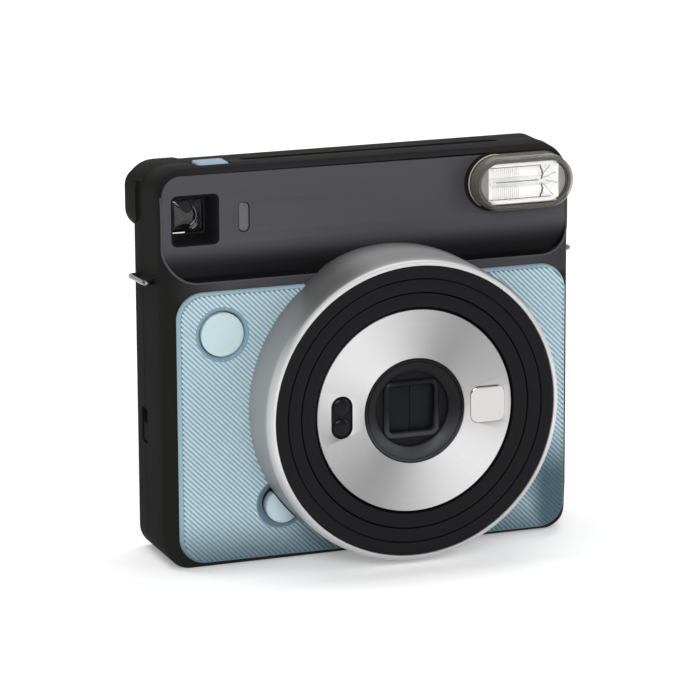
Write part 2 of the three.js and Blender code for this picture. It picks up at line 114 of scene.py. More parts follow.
def rrect(x0, x1, z0, z1, r, n=8):
    a, b, c, d = r if isinstance(r, (list, tuple)) else (r, r, r, r)
    return (arc(x1 - a, z1 - a, a, 0, PI / 2, n) + arc(x0 + b, z1 - b, b, PI / 2, PI, n)
            + arc(x0 + c, z0 + c, c, PI, 1.5 * PI, n) + arc(x1 - d, z0 + d, d, 1.5 * PI, 2 * PI, n))


def rrc(cx, cz, w, h, r, n=8):
    return rrect(cx - w / 2, cx + w / 2, cz - h / 2, cz + h / 2, r, n)


def circle(cx, cz, r, n=96):
    return [(cx + r * math.cos(2 * PI * i / n), cz + r * math.sin(2 * PI * i / n)) for i in range(n)]


def loft(name, rings, cap0=True, cap1=True):
    """rings of equal length; quads between them, one polygon over each end"""
    n = len(rings[0])
    vs = [p for r in rings for p in r]
    fs = []
    for k in range(len(rings) - 1):
        for i in range(n):
            j = (i + 1) % n
            fs.append((k * n + i, k * n + j, (k + 1) * n + j, (k + 1) * n + i))
    if cap0: fs.append(tuple(range(n)))
    if cap1: fs.append(tuple((len(rings) - 1) * n + i for i in range(n)))
    return new_obj(name, vs, fs)


def prism(name, pts, a, b, axis="y"):
    """polygon pushed from a to b; pts are (x,z) for y, (x,y) for z, (y,z) for x"""
    f = {"y": lambda p, t: (p[0], t, p[1]), "z": lambda p, t: (p[0], p[1], t), "x": lambda p, t: (t, p[0], p[1])}[axis]
    return raw_recalc(loft(name, [[f(p, a) for p in pts], [f(p, b) for p in pts]]))


def soft_prism(name, shape_at, a, b, r, axis="y", seg=4, ends="both", dome=0.0):
    """closed form between a and b with rounded edges; shape_at(inset) gives the outline"""
    f = {"y": lambda p, t: (p[0], t, p[1]), "z": lambda p, t: (p[0], p[1], t), "x": lambda p, t: (t, p[0], p[1])}[axis]
    s = 1 if b > a else -1
    rings = []
    if ends in ("both", "a"):
        for i in range(seg + 1):
            q = PI / 2 * i / seg
            rings.append([f(p, a + s * r * (1 - math.sin(q))) for p in shape_at(r * (1 - math.cos(q)))])
        rings.reverse()
        rings = rings[::-1] if False else rings
    else:
        rings.append([f(p, a) for p in shape_at(0)])
    # rings now run from the end face at a outwards; put the end face first
    if ends in ("both", "a"):
        rings = []
        for i in range(seg + 1):
            q = PI / 2 * i / seg
            rings.append([f(p, a + s * r * (1 - math.sin(q))) for p in shape_at(r * (1 - math.cos(q)))])
        rings = rings[::-1]
    if ends in ("both", "b"):
        for i in range(seg + 1):
            q = PI / 2 * i / seg
            rings.append([f(p, b - s * r * (1 - math.sin(q))) for p in shape_at(r * (1 - math.cos(q)))])
    else:
        rings.append([f(p, b) for p in shape_at(0)])
    return raw_recalc(loft(name, rings))


def lathe(name, prof, n=160, cx=LX, cz=LZ, axis="y", a0=0.0, a1=2 * PI, closed=True):
    """prof: closed list of (radius, height along the axis)"""
    full = abs(a1 - a0 - 2 * PI) < 1e-9
    m = n if full else n + 1
    vs, fs = [], []
    k = len(prof)
    for i in range(m):
        t = a0 + (a1 - a0) * i / n
        c, s = math.cos(t), math.sin(t)
        for r, h in prof:
            if axis == "y": vs.append((cx + r * c, h, cz + r * s))
            elif axis == "z": vs.append((cx + r * c, cz + r * s, h))
            else: vs.append((h, cx + r * c, cz + r * s))
    for i in range(m if full else m - 1):
        j = (i + 1) % m
        for q in range(k if closed else k - 1):
            p = (q + 1) % k
            fs.append((i * k + q, i * k + p, j * k + p, j * k + q))
    if not full:
        fs.append(tuple(range(k)))
        fs.append(tuple((m - 1) * k + q for q in range(k)))
    return raw_recalc(new_obj(name, vs, fs))


def half(hw, z0, z1, rt, rb, zs=(), nt=14, nb=14):
    """right half of a rounded rectangle, from the top edge down to the bottom edge"""
    pts = [(x, z) for x, z in arc(hw - rt, z1 - rt, rt, PI / 2, 0, nt)]
    pts += [(hw, z) for z in zs if z0 + rb + 0.05 < z < z1 - rt - 0.05]
    pts += [(x, z) for x, z in arc(hw - rb, z0 + rb, rb, 0, -PI / 2, nb)]
    return pts


def strip_solid(name, rings, cx=0.0):
    """rings: (half outline points, y for each point). Both ends are closed by level strips."""
    vs, fs = [], []
    n = len(rings[0][0])
    N = 2 * n
    for pts, ys in rings:
        for (x, z), y in zip(pts, ys): vs.append((cx + x, y, z))
        for (x, z), y in reversed(list(zip(pts, ys))): vs.append((cx - x, y, z))
    for k in range(len(rings) - 1):
        for i in range(N):
            j = (i + 1) % N
            fs.append((k * N + i, k * N + j, (k + 1) * N + j, (k + 1) * N + i))
    for k in (0, len(rings) - 1):
        for i in range(n - 1):
            fs.append((k * N + i, k * N + i + 1, k * N + N - 2 - i, k * N + N - 1 - i))
    return raw_recalc(new_obj(name, vs, fs))


def smooth01(t):
    t = max(0.0, min(1.0, t))
    return t * t * (3 - 2 * t)


# ------------------------------------------------------------------ materials
def nodes_of(name):
    m = bpy.data.materials.new(name)
    m.use_nodes = True
    nt = m.node_tree
    b = nt.nodes.get("Principled BSDF")
    return m, nt, b


def N(nt, kind, **kw):
    n = nt.nodes.new(kind)
    for k, v in kw.items():
        setattr(n, k, v)
    return n


def plastic(name, col, rough=0.45, spec=0.5, grain=0.28, bump=0.25, vary=0.06, rvary=0.08, metallic=0.0, coat=0.0, sheen=0.0, dist=0.03):
    """moulded or painted surface: fine grain, faint cloudy colour change, uneven gloss"""
    m, nt, b = nodes_of(name)
    L = nt.links
    tc = N(nt, "ShaderNodeTexCoord")
    big = N(nt, "ShaderNodeTexNoise"); big.inputs["Scale"].default_value = 45; big.inputs["Detail"].default_value = 4
    fine = N(nt, "ShaderNodeTexNoise"); fine.inputs["Scale"].default_value = 1000.0 / grain; fine.inputs["Detail"].default_value = 2
    L.new(tc.outputs["Object"], big.inputs["Vector"]); L.new(tc.outputs["Object"], fine.inputs["Vector"])
    ramp = N(nt, "ShaderNodeMix", data_type="RGBA")
    c = Vector(col)
    ramp.inputs[6].default_value = (*(c * (1 - vary)), 1)
    ramp.inputs[7].default_value = (*[min(1, v * (1 + vary)) for v in c], 1)
    L.new(big.outputs["Fac"], ramp.inputs[0])
    L.new(ramp.outputs[2], b.inputs["Base Color"])
    mr = N(nt, "ShaderNodeMapRange")
    mr.inputs["To Min"].default_value = max(0.02, rough - rvary); mr.inputs["To Max"].default_value = min(1, rough + rvary)
    mix = N(nt, "ShaderNodeMath", operation="MULTIPLY_ADD")
    mix.inputs[1].default_value = 0.5
    L.new(fine.outputs["Fac"], mix.inputs[0]); 
    hlf = N(nt, "ShaderNodeMath", operation="MULTIPLY"); hlf.inputs[1].default_value = 0.5
    L.new(big.outputs["Fac"], hlf.inputs[0]); L.new(hlf.outputs[0], mix.inputs[2])
    L.new(mix.outputs[0], mr.inputs["Value"]); L.new(mr.outputs["Result"], b.inputs["Roughness"])
    bp = N(nt, "ShaderNodeBump"); bp.inputs["Strength"].default_value = bump; bp.inputs["Distance"].default_value = dist * MM
    L.new(fine.outputs["Fac"], bp.inputs["Height"]); L.new(bp.outputs["Normal"], b.inputs["Normal"])
    b.inputs["Metallic"].default_value = metallic
    b.inputs["Specular IOR Level"].default_value = spec
    b.inputs["Coat Weight"].default_value = coat
    b.inputs["Sheen Weight"].default_value = sheen
    return m


def turned(name, col, rough=0.28, streak=9000.0, bump=0.1, aniso=0.6, vary=0.08, metallic=1.0, centre=(LX, LZ), painted_bowtie=0.0, painted_bowtie_at=130.0, painted_bowtie_from=-1.0):
    """spun or turned metal: fine lines run round the lens axis"""
    m, nt, b = nodes_of(name)
    L = nt.links
    tc = N(nt, "ShaderNodeTexCoord")
    sub = N(nt, "ShaderNodeVectorMath", operation="SUBTRACT"); sub.inputs[1].default_value = (centre[0] * MM, 0, centre[1] * MM)
    L.new(tc.outputs["Object"], sub.inputs[0])
    sep = N(nt, "ShaderNodeSeparateXYZ"); L.new(sub.outputs[0], sep.inputs[0])
    flat = N(nt, "ShaderNodeCombineXYZ"); L.new(sep.outputs["X"], flat.inputs["X"]); L.new(sep.outputs["Z"], flat.inputs["Z"])
    ln = N(nt, "ShaderNodeVectorMath", operation="LENGTH"); L.new(flat.outputs[0], ln.inputs[0])
    at = N(nt, "ShaderNodeMath", operation="ARCTAN2"); L.new(sep.outputs["Z"], at.inputs[0]); L.new(sep.outputs["X"], at.inputs[1])
    cb = N(nt, "ShaderNodeCombineXYZ")
    rs = N(nt, "ShaderNodeMath", operation="MULTIPLY"); rs.inputs[1].default_value = streak
    L.new(ln.outputs["Value"], rs.inputs[0])
    ys = N(nt, "ShaderNodeMath", operation="MULTIPLY"); ys.inputs[1].default_value = streak
    L.new(sep.outputs["Y"], ys.inputs[0])
    ts = N(nt, "ShaderNodeMath", operation="MULTIPLY"); ts.inputs[1].default_value = 2.2
    L.new(at.outputs[0], ts.inputs[0])
    L.new(rs.outputs[0], cb.inputs["X"]); L.new(ys.outputs[0], cb.inputs["Y"]); L.new(ts.outputs[0], cb.inputs["Z"])
    ns = N(nt, "ShaderNodeTexNoise"); ns.inputs["Scale"].default_value = 1.0; ns.inputs["Detail"].default_value = 3
    L.new(cb.outputs[0], ns.inputs["Vector"])
    mx = N(nt, "ShaderNodeMix", data_type="RGBA")
    c = Vector(col)
    mx.inputs[6].default_value = (*(c * (1 - vary)), 1); mx.inputs[7].default_value = (*[min(1, v * (1 + vary)) for v in c], 1)
    L.new(ns.outputs["Fac"], mx.inputs[0]); L.new(mx.outputs[2], b.inputs["Base Color"])
    if painted_bowtie:
        # painted highlight: two opposite sectors of the spun surface are painted lighter and the sectors between them
        # darker, a bowtie-shaped highlight laid into the colour
        d2 = N(nt, "ShaderNodeMath", operation="MULTIPLY_ADD"); d2.inputs[1].default_value = 2.0; d2.inputs[2].default_value = -2 * math.radians(painted_bowtie_at)
        L.new(at.outputs[0], d2.inputs[0])
        cs = N(nt, "ShaderNodeMath", operation="COSINE"); L.new(d2.outputs[0], cs.inputs[0])
        fr = N(nt, "ShaderNodeMapRange"); fr.inputs["From Min"].default_value = painted_bowtie_from; fr.inputs["From Max"].default_value = 1.0
        L.new(cs.outputs[0], fr.inputs["Value"])
        bw = N(nt, "ShaderNodeMix", data_type="RGBA")
        lo = N(nt, "ShaderNodeMix", data_type="RGBA", blend_type="MULTIPLY"); lo.inputs[0].default_value = 1.0
        k = 1.0 - painted_bowtie
        lo.inputs[7].default_value = (k, k, k, 1)
        L.new(mx.outputs[2], lo.inputs[6])
        L.new(fr.outputs["Result"], bw.inputs[0]); L.new(lo.outputs[2], bw.inputs[6]); L.new(mx.outputs[2], bw.inputs[7])
        L.new(bw.outputs[2], b.inputs["Base Color"])
    mr = N(nt, "ShaderNodeMapRange"); mr.inputs["To Min"].default_value = rough - 0.05; mr.inputs["To Max"].default_value = rough + 0.07
    L.new(ns.outputs["Fac"], mr.inputs["Value"]); L.new(mr.outputs["Result"], b.inputs["Roughness"])
    bp = N(nt, "ShaderNodeBump"); bp.inputs["Strength"].default_value = bump; bp.inputs["Distance"].default_value = 0.01 * MM
    L.new(ns.outputs["Fac"], bp.inputs["Height"]); L.new(bp.outputs["Normal"], b.inputs["Normal"])
    b.inputs["Metallic"].default_value = metallic
    b.inputs["Anisotropic"].default_value = aniso
    # tangent round the axis
    cr = N(nt, "ShaderNodeVectorMath", operation="CROSS_PRODUCT"); cr.inputs[1].default_value = (0, 1, 0)
    L.new(flat.outputs[0], cr.inputs[0])
    nm = N(nt, "ShaderNodeVectorMath", operation="NORMALIZE"); L.new(cr.outputs[0], nm.inputs[0])
    L.new(nm.outputs[0], b.inputs["Tangent"])
    return m


def glassy(name, col, rough=0.03, ior=1.5, trans=1.0, alpha=1.0, tint_vary=0.04, scale=600):
    m, nt, b = nodes_of(name)
    L = nt.links
    tc = N(nt, "ShaderNodeTexCoord")
    ns = N(nt, "ShaderNodeTexNoise"); ns.inputs["Scale"].default_value = scale; L.new(tc.outputs["Object"], ns.inputs["Vector"])
    mx = N(nt, "ShaderNodeMix", data_type="RGBA"); c = Vector(col)
    mx.inputs[6].default_value = (*(c * (1 - tint_vary)), 1); mx.inputs[7].default_value = (*[min(1, v * (1 + tint_vary)) for v in c], 1)
    L.new(ns.outputs["Fac"], mx.inputs[0]); L.new(mx.outputs[2], b.inputs["Base Color"])
    mr = N(nt, "ShaderNodeMapRange"); mr.inputs["To Min"].default_value = rough; mr.inputs["To Max"].default_value = rough + 0.03
    L.new(ns.outputs["Fac"], mr.inputs["Value"]); L.new(mr.outputs["Result"], b.inputs["Roughness"])
    b.inputs["IOR"].default_value = ior
    b.inputs["Transmission Weight"].default_value = trans
    b.inputs["Alpha"].default_value = alpha
    return m


M = {}
M["shell"] = plastic("shell_black", (0.0125, 0.0125, 0.0118), rough=0.62, spec=0.035, grain=0.30, bump=0.35, vary=0.1)
M["graphite"] = plastic("panel_graphite", (0.058, 0.056, 0.064), rough=0.46, spec=0.22, grain=0.16, bump=0.12, vary=0.05, metallic=0.2)
M["blue"] = plastic("grip_blue", (0.27, 0.395, 0.455), rough=0.42, spec=0.35, grain=0.3, bump=0.1, vary=0.04)
# painted shade: the top button is a darker copy of the front buttons' blue, for its upward face that gets less light
M["blue_top_shaded"] = plastic("top_button_blue_painted_shade", (0.24, 0.35, 0.41), rough=0.4, spec=0.3, grain=0.3, bump=0.05, vary=0.03)
# painted shade: darker copies of the grip blue for the shutter button's dish and the power button's scoop, for the
# shade in these hollows
M["blue_dish_shade"] = plastic("dish_blue_painted_shade", (0.185, 0.295, 0.35), rough=0.4, spec=0.35, grain=0.3, bump=0.08, vary=0.05)
M["blue_seat_shade"] = plastic("seat_blue_painted_shade", (0.125, 0.20, 0.245), rough=0.4, spec=0.35, grain=0.3, bump=0.08, vary=0.05)
M["blue_button"] = plastic("button_blue", (0.46, 0.585, 0.615), rough=0.36, spec=0.35, grain=0.3, bump=0.05, vary=0.03)
# ring and face plate: the painted bowtie settings paint a highlight into two opposite sectors and painted shade between
# them
M["ring"] = turned("ring_silver", (0.375, 0.375, 0.372), rough=0.44, aniso=0.5, streak=7000, metallic=0.2, vary=0.08, painted_bowtie=0.66, painted_bowtie_at=178.0, painted_bowtie_from=-0.10)
M["face"] = turned("face_silver", (0.685, 0.685, 0.685), rough=0.30, aniso=0.8, streak=9000, bump=0.16, painted_bowtie=0.60, painted_bowtie_at=141.0)
M["lensblack"] = plastic("lens_black", (0.0075, 0.0075, 0.0085), rough=0.45, spec=0.08, grain=0.2, bump=0.12, vary=0.08)
M["bezel"] = plastic("bezel_black", (0.007, 0.007, 0.008), rough=0.32, spec=0.12, grain=0.2, bump=0.08)
M["leaf"] = plastic("leaf_black", (0.0075, 0.008, 0.0095), rough=0.3, spec=0.08, grain=0.2, bump=0.06)
M["mirror"] = plastic("mirror_warm", (0.60, 0.575, 0.56), rough=0.14, metallic=1.0, grain=0.5, bump=0.0, vary=0.01, rvary=0.02)
M["chrome"] = plastic("reflector_bright", (0.93, 0.93, 0.92), rough=0.12, metallic=1.0, grain=1.2, bump=0.25, vary=0.02, rvary=0.05, dist=0.05)
# painted highlight: a lighter grey for the soft lip round the upper panel's recess, where its rounded edge catches
# light
M["lip"] = plastic("panel_lip_painted_highlight", (0.050, 0.050, 0.054), rough=0.42, spec=0.3, grain=0.2, bump=0.06)
M["lug"] = plastic("lug_steel_dark", (0.20, 0.20, 0.205), rough=0.22, metallic=1.0, grain=0.3, bump=0.12, vary=0.1)
M["steel"] = plastic("steel_brushed", (0.52, 0.52, 0.53), rough=0.28, metallic=1.0, grain=0.3, bump=0.12, vary=0.06)
M["sensor"] = plastic("sensor_gloss", (0.005, 0.005, 0.006), rough=0.22, spec=0.14, grain=0.6, bump=0.02)
M["glass"] = glassy("lens_glass", (0.92, 0.94, 0.96), rough=0.01)
M["flashglass"] = plastic("flash_clear", (0.24, 0.225, 0.20), rough=0.08, spec=0.6, grain=0.9, bump=0.04, vary=0.05, rvary=0.03)
_nt = M["flashglass"].node_tree
_lw = N(_nt, "ShaderNodeLayerWeight"); _lw.inputs["Blend"].default_value = 0.35
_am = N(_nt, "ShaderNodeMapRange"); _am.inputs["From Min"].default_value = 0.10; _am.inputs["From Max"].default_value = 0.70
_am.inputs["To Min"].default_value = 0.03; _am.inputs["To Max"].default_value = 0.80
_nt.links.new(_lw.outputs["Facing"], _am.inputs["Value"])
_nt.links.new(_am.outputs["Result"], _nt.nodes.get("Principled BSDF").inputs["Alpha"])
M["lamp"] = plastic("lamp_smoke", (0.072, 0.072, 0.076), rough=0.22, spec=0.5, grain=0.5, bump=0.03, coat=0.3)
M["brass"] = plastic("brass_plain", (0.62, 0.47, 0.2), rough=0.3, metallic=1.0, grain=0.3, bump=0.05)
M["gearwhite"] = plastic("gear_white", (0.75, 0.75, 0.7), rough=0.45)
M["board"] = plastic("board_green", (0.02, 0.12, 0.05), rough=0.35, grain=0.6, bump=0.3)
M["cell"] = plastic("cell_wrap", (0.10, 0.15, 0.2), rough=0.3, coat=0.3)
M["cap"] = plastic("capacitor_sleeve", (0.02, 0.02, 0.022), rough=0.25, coat=0.3)
M["motor"] = plastic("motor_can", (0.4, 0.4, 0.41), rough=0.3, metallic=1.0)
M["pack"] = plastic("pack_black", (0.02, 0.02, 0.02), rough=0.5, grain=0.5)
M["rubber"] = plastic("roller_rubber", (0.03, 0.03, 0.03), rough=0.55, grain=0.4)


def along(nt, axis, a, b, t0=0.0, t1=1.0, smooth=True):
    """0..1 as the object coordinate goes from a to b (millimetres)"""
    tc = N(nt, "ShaderNodeTexCoord")
    sep = N(nt, "ShaderNodeSeparateXYZ")
    nt.links.new(tc.outputs["Object"], sep.inputs[0])
    mr = N(nt, "ShaderNodeMapRange", interpolation_type="SMOOTHSTEP" if smooth else "LINEAR")
    mr.inputs["From Min"].default_value = a * MM
    mr.inputs["From Max"].default_value = b * MM
    mr.inputs["To Min"].default_value = t0
    mr.inputs["To Max"].default_value = t1
    nt.links.new(sep.outputs[axis], mr.inputs["Value"])
    return mr.outputs["Result"]


def times(nt, a, b):
    m = N(nt, "ShaderNodeMath", operation="MULTIPLY")
    nt.links.new(a, m.inputs[0]); nt.links.new(b, m.inputs[1])
    return m.outputs[0]


def into(mat, fac, col, spec=None):
    """blend the material's colour towards col where fac is 1"""
    nt = mat.node_tree
    b = nt.nodes.get("Principled BSDF")
    src = b.inputs["Base Color"].links[0].from_socket
    mx = N(nt, "ShaderNodeMix", data_type="RGBA")
    mx.inputs[7].default_value = (*col, 1)
    nt.links.new(fac, mx.inputs[0]); nt.links.new(src, mx.inputs[6]); nt.links.new(mx.outputs[2], b.inputs["Base Color"])
    if spec is not None:
        mr = N(nt, "ShaderNodeMapRange")
        mr.inputs["To Min"].default_value = b.inputs["Specular IOR Level"].default_value
        mr.inputs["To Max"].default_value = spec
        nt.links.new(fac, mr.inputs["Value"]); nt.links.new(mr.outputs["Result"], b.inputs["Specular IOR Level"])
    return mat


# painted light on the ring: its top is painted darker towards the right (painted shade), and its front lip is painted
# lighter as a highlight, except at the bottom, where it is painted darker again (painted shade)
_nt = M["ring"].node_tree
into(M["ring"], times(_nt, along(_nt, "Z", LZ + 37.0, LZ + 43.5), along(_nt, "X", LX - 24.0, LX - 8.0)), (0.31, 0.31, 0.308))
into(M["ring"], times(_nt, along(_nt, "Y", -25.0, -26.9, 0.0, 0.9), along(_nt, "Z", LZ + 32.0, LZ + 8.0)), (0.62, 0.62, 0.615))
into(M["ring"], times(_nt, along(_nt, "Y", -27.5, -28.7, 0.0, 0.9), along(_nt, "Z", LZ + 8.0, LZ + 32.0)), (0.56, 0.56, 0.555))
into(M["ring"], times(_nt, along(_nt, "Y", -25.0, -26.9, 0.0, 0.8), along(_nt, "Z", LZ - 8.0, LZ - 26.0)), (0.40, 0.40, 0.397))
# front shell: graphite paint on the strip between the two front panels, fading out at its ends
M["front_shell"] = plastic("shell_front_black", (0.0125, 0.0125, 0.0118), rough=0.62, spec=0.035, grain=0.30, bump=0.35, vary=0.1)
_nt = M["front_shell"].node_tree
_f = times(_nt, times(_nt, along(_nt, "Z", 79.0, 81.5), along(_nt, "Y", -3.0, -7.0)), times(_nt, along(_nt, "X", -63.0, -44.0), along(_nt, "X", 64.5, 46.0, 0.45, 1.0)))
_f = times(_nt, _f, along(_nt, "Z", 92.0, 87.5, 0.4, 1.0))
into(M["front_shell"], _f, (0.056, 0.056, 0.062), 0.22)
# mask of the shell's sides, for painted shade
def flank_shade_mask(nt):
    m = N(nt, "ShaderNodeMath", operation="MAXIMUM")
    nt.links.new(along(nt, "X", -61.0, -63.8), m.inputs[0]); nt.links.new(along(nt, "X", 61.0, 63.8), m.inputs[1])
    return m.outputs[0]


# painted shade: the sides of the front and rear shells are painted darker and less glossy than their fronts
into(M["front_shell"], times(_nt, flank_shade_mask(_nt), along(_nt, "Y", -6.5, -1.5)), (0.0095, 0.0095, 0.009), 0.02)
into(M["shell"], flank_shade_mask(M["shell"].node_tree), (0.0095, 0.0095, 0.009), 0.02)
# upper panel: painted shade, the swept lower part is painted darker until it runs into shadow black
_nt = M["graphite"].node_tree
_tc = N(_nt, "ShaderNodeTexCoord"); _sp = N(_nt, "ShaderNodeSeparateXYZ"); _nt.links.new(_tc.outputs["Object"], _sp.inputs[0])
_mr = N(_nt, "ShaderNodeMapRange"); _mr.inputs["From Min"].default_value = 98.0 * MM; _mr.inputs["From Max"].default_value = 86.0 * MM
_nt.links.new(_sp.outputs["Z"], _mr.inputs["Value"])
_rp = N(_nt, "ShaderNodeValToRGB")
_el = _rp.color_ramp.elements
_el[0].position = 0.0; _el[0].color = (0, 0, 0, 1)
_el[1].position = 1.0; _el[1].color = (0.97, 0.97, 0.97, 1)
for _p, _v in ((0.17, 0.03), (0.30, 0.22), (0.42, 0.52), (0.54, 0.76), (0.68, 0.91), (0.83, 0.96)):
    _e = _el.new(_p); _e.color = (_v, _v, _v, 1)
_nt.links.new(_mr.outputs["Result"], _rp.inputs["Fac"])
into(M["graphite"], _rp.outputs["Color"], (0.0035, 0.0035, 0.0038), 0.03)
# painted highlight: the lower part of the lens bezel is painted lighter, where its inner cone faces up towards the
# light
into(M["bezel"], along(M["bezel"].node_tree, "Z", LZ + 1, LZ - 10, 0.0, 0.85), (0.048, 0.049, 0.054))


# mask for painted shade at the bottom of the grip panel and its lower right corner
def foot(nt):
    a = along(nt, "Z", 17.0, 1.0, 0.0, 0.84)
    b = times(nt, along(nt, "X", 44.0, 55.0, 0.0, 1.0), along(nt, "Z", 36.0, 17.0))
    m = N(nt, "ShaderNodeMath", operation="MAXIMUM")
    nt.links.new(a, m.inputs[0]); nt.links.new(b, m.inputs[1])
    return m.outputs[0]


# painted shade: the grip panel is painted darker towards its bottom and lower right
into(M["blue"], foot(M["blue"].node_tree), (0.035, 0.075, 0.10))
# ribs: pale crests, deep grooves. They are a paler copy of the grip blue, a painted highlight on the crests, painted
# darker towards the groove floors and towards the panel's bottom and lower right (painted shade)
M["ribs"] = plastic("grip_ribs_blue_painted_light", (0.50, 0.64, 0.70), rough=0.36, spec=0.4, grain=0.3, bump=0.08, vary=0.04)
_nt = M["ribs"].node_tree
into(M["ribs"], along(_nt, "Y", -11.04, -10.84), (0.085, 0.155, 0.20), 0.15)
into(M["ribs"], foot(_nt), (0.05, 0.10, 0.13))


def dress(ob, mat, body=ROOT, replaces=()):
    ob.data.materials.clear()
    ob.data.materials.append(M[mat])
    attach(ob, body)
    if replaces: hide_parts(*replaces)
    return ob


# ------------------------------------------------------------------ shells
HW, H = 64.05, 118.7
Y_BACK = 21.8
FX, FZ = 47.6, 108.3


def panel_y(z):
    """front face of the upper panel: flat above, swept forward along its lower edge"""
    t = (97.5 - z) / 11.5
    if t <= 0: return -5.0
    t = min(1.0, t)
    return -5.0 - 3.9 * (1 - math.sqrt(max(0.0, 1 - t ** 2.1)))


def shell_y(z):
    """front face of the black shell: one level up the sides, set back along the top"""
    return -9.0 + 4.1 * smooth01((z - 103.0) / 14.0)


def top_fall(y):
    """how far the top surface lies below its front edge"""
    P = [(3.0, 0.0), (8.5, 0.75), (12.15, 1.0), (21.8, 1.35), (29.05, 2.3)]
    if y <= P[0][0]: return 0.0
    for (a, u), (b, v) in zip(P, P[1:]):
        if y <= b: return u + (v - u) * (y - a) / (b - a)
    return P[-1][1]


def lower_top(ob, z0=104.0):
    """lean the top back: points near the top come down with their depth"""
    for v in ob.data.vertices:
        z = v.co.z / MM
        if z > z0:
            v.co.z = (z - top_fall(v.co.y / MM) * min(1.0, (z - z0) / (H - 3.0 - z0))) * MM
    ob.data.update()
    return ob


ZS = [111, 108, 105, 102, 100, 98.5, 97.5, 96.5, 95.5, 94.5, 93.5, 92.5, 91.5, 90.5, 89.5, 88.7, 88.0, 87.4, 86.8, 86.3, 85.9, 85.6, 84, 82, 78, 70, 60, 50, 40, 30, 20, 14]


def ease_corner(ob, sx, sz, hw, z_out, r0, r1, S=13.0):
    """change one outline corner's radius from r0 to r1(y) without touching the rest"""
    ox, oz = sx * (hw - S), z_out - sz * S
    def bound(phi, r):
        c = S - r
        if math.tan(phi) <= c / S: return S / math.cos(phi)
        if math.tan(phi) >= S / max(c, 1e-6): return S / math.sin(phi)
        k = math.cos(phi) + math.sin(phi)
        return c * k + math.sqrt(max(0.0, c * c * k * k - 2 * c * c + r * r))
    for v in ob.data.vertices:
        u, w = sx * (v.co.x / MM - ox), sz * (v.co.z / MM - oz)
        if u > 0.01 and w > 0.01:
            phi = math.atan2(w, u)
            f = bound(phi, r1(v.co.y / MM)) / bound(phi, r0)
            v.co.x = (ox + sx * u * f) * MM
            v.co.z = (oz + sz * w * f) * MM
    ob.data.update()
    return ob


def r_top_right(y): return 9.8 - 2.8 * max(0.0, min(1.0, y / 12.1)) - 1.0 * max(0.0, min(1.0, (y - 12.1) / 9.0))
def r_foot(y): return 10.2 - 3.0 * max(0.0, min(1.0, (y + 2.0) / 14.0))


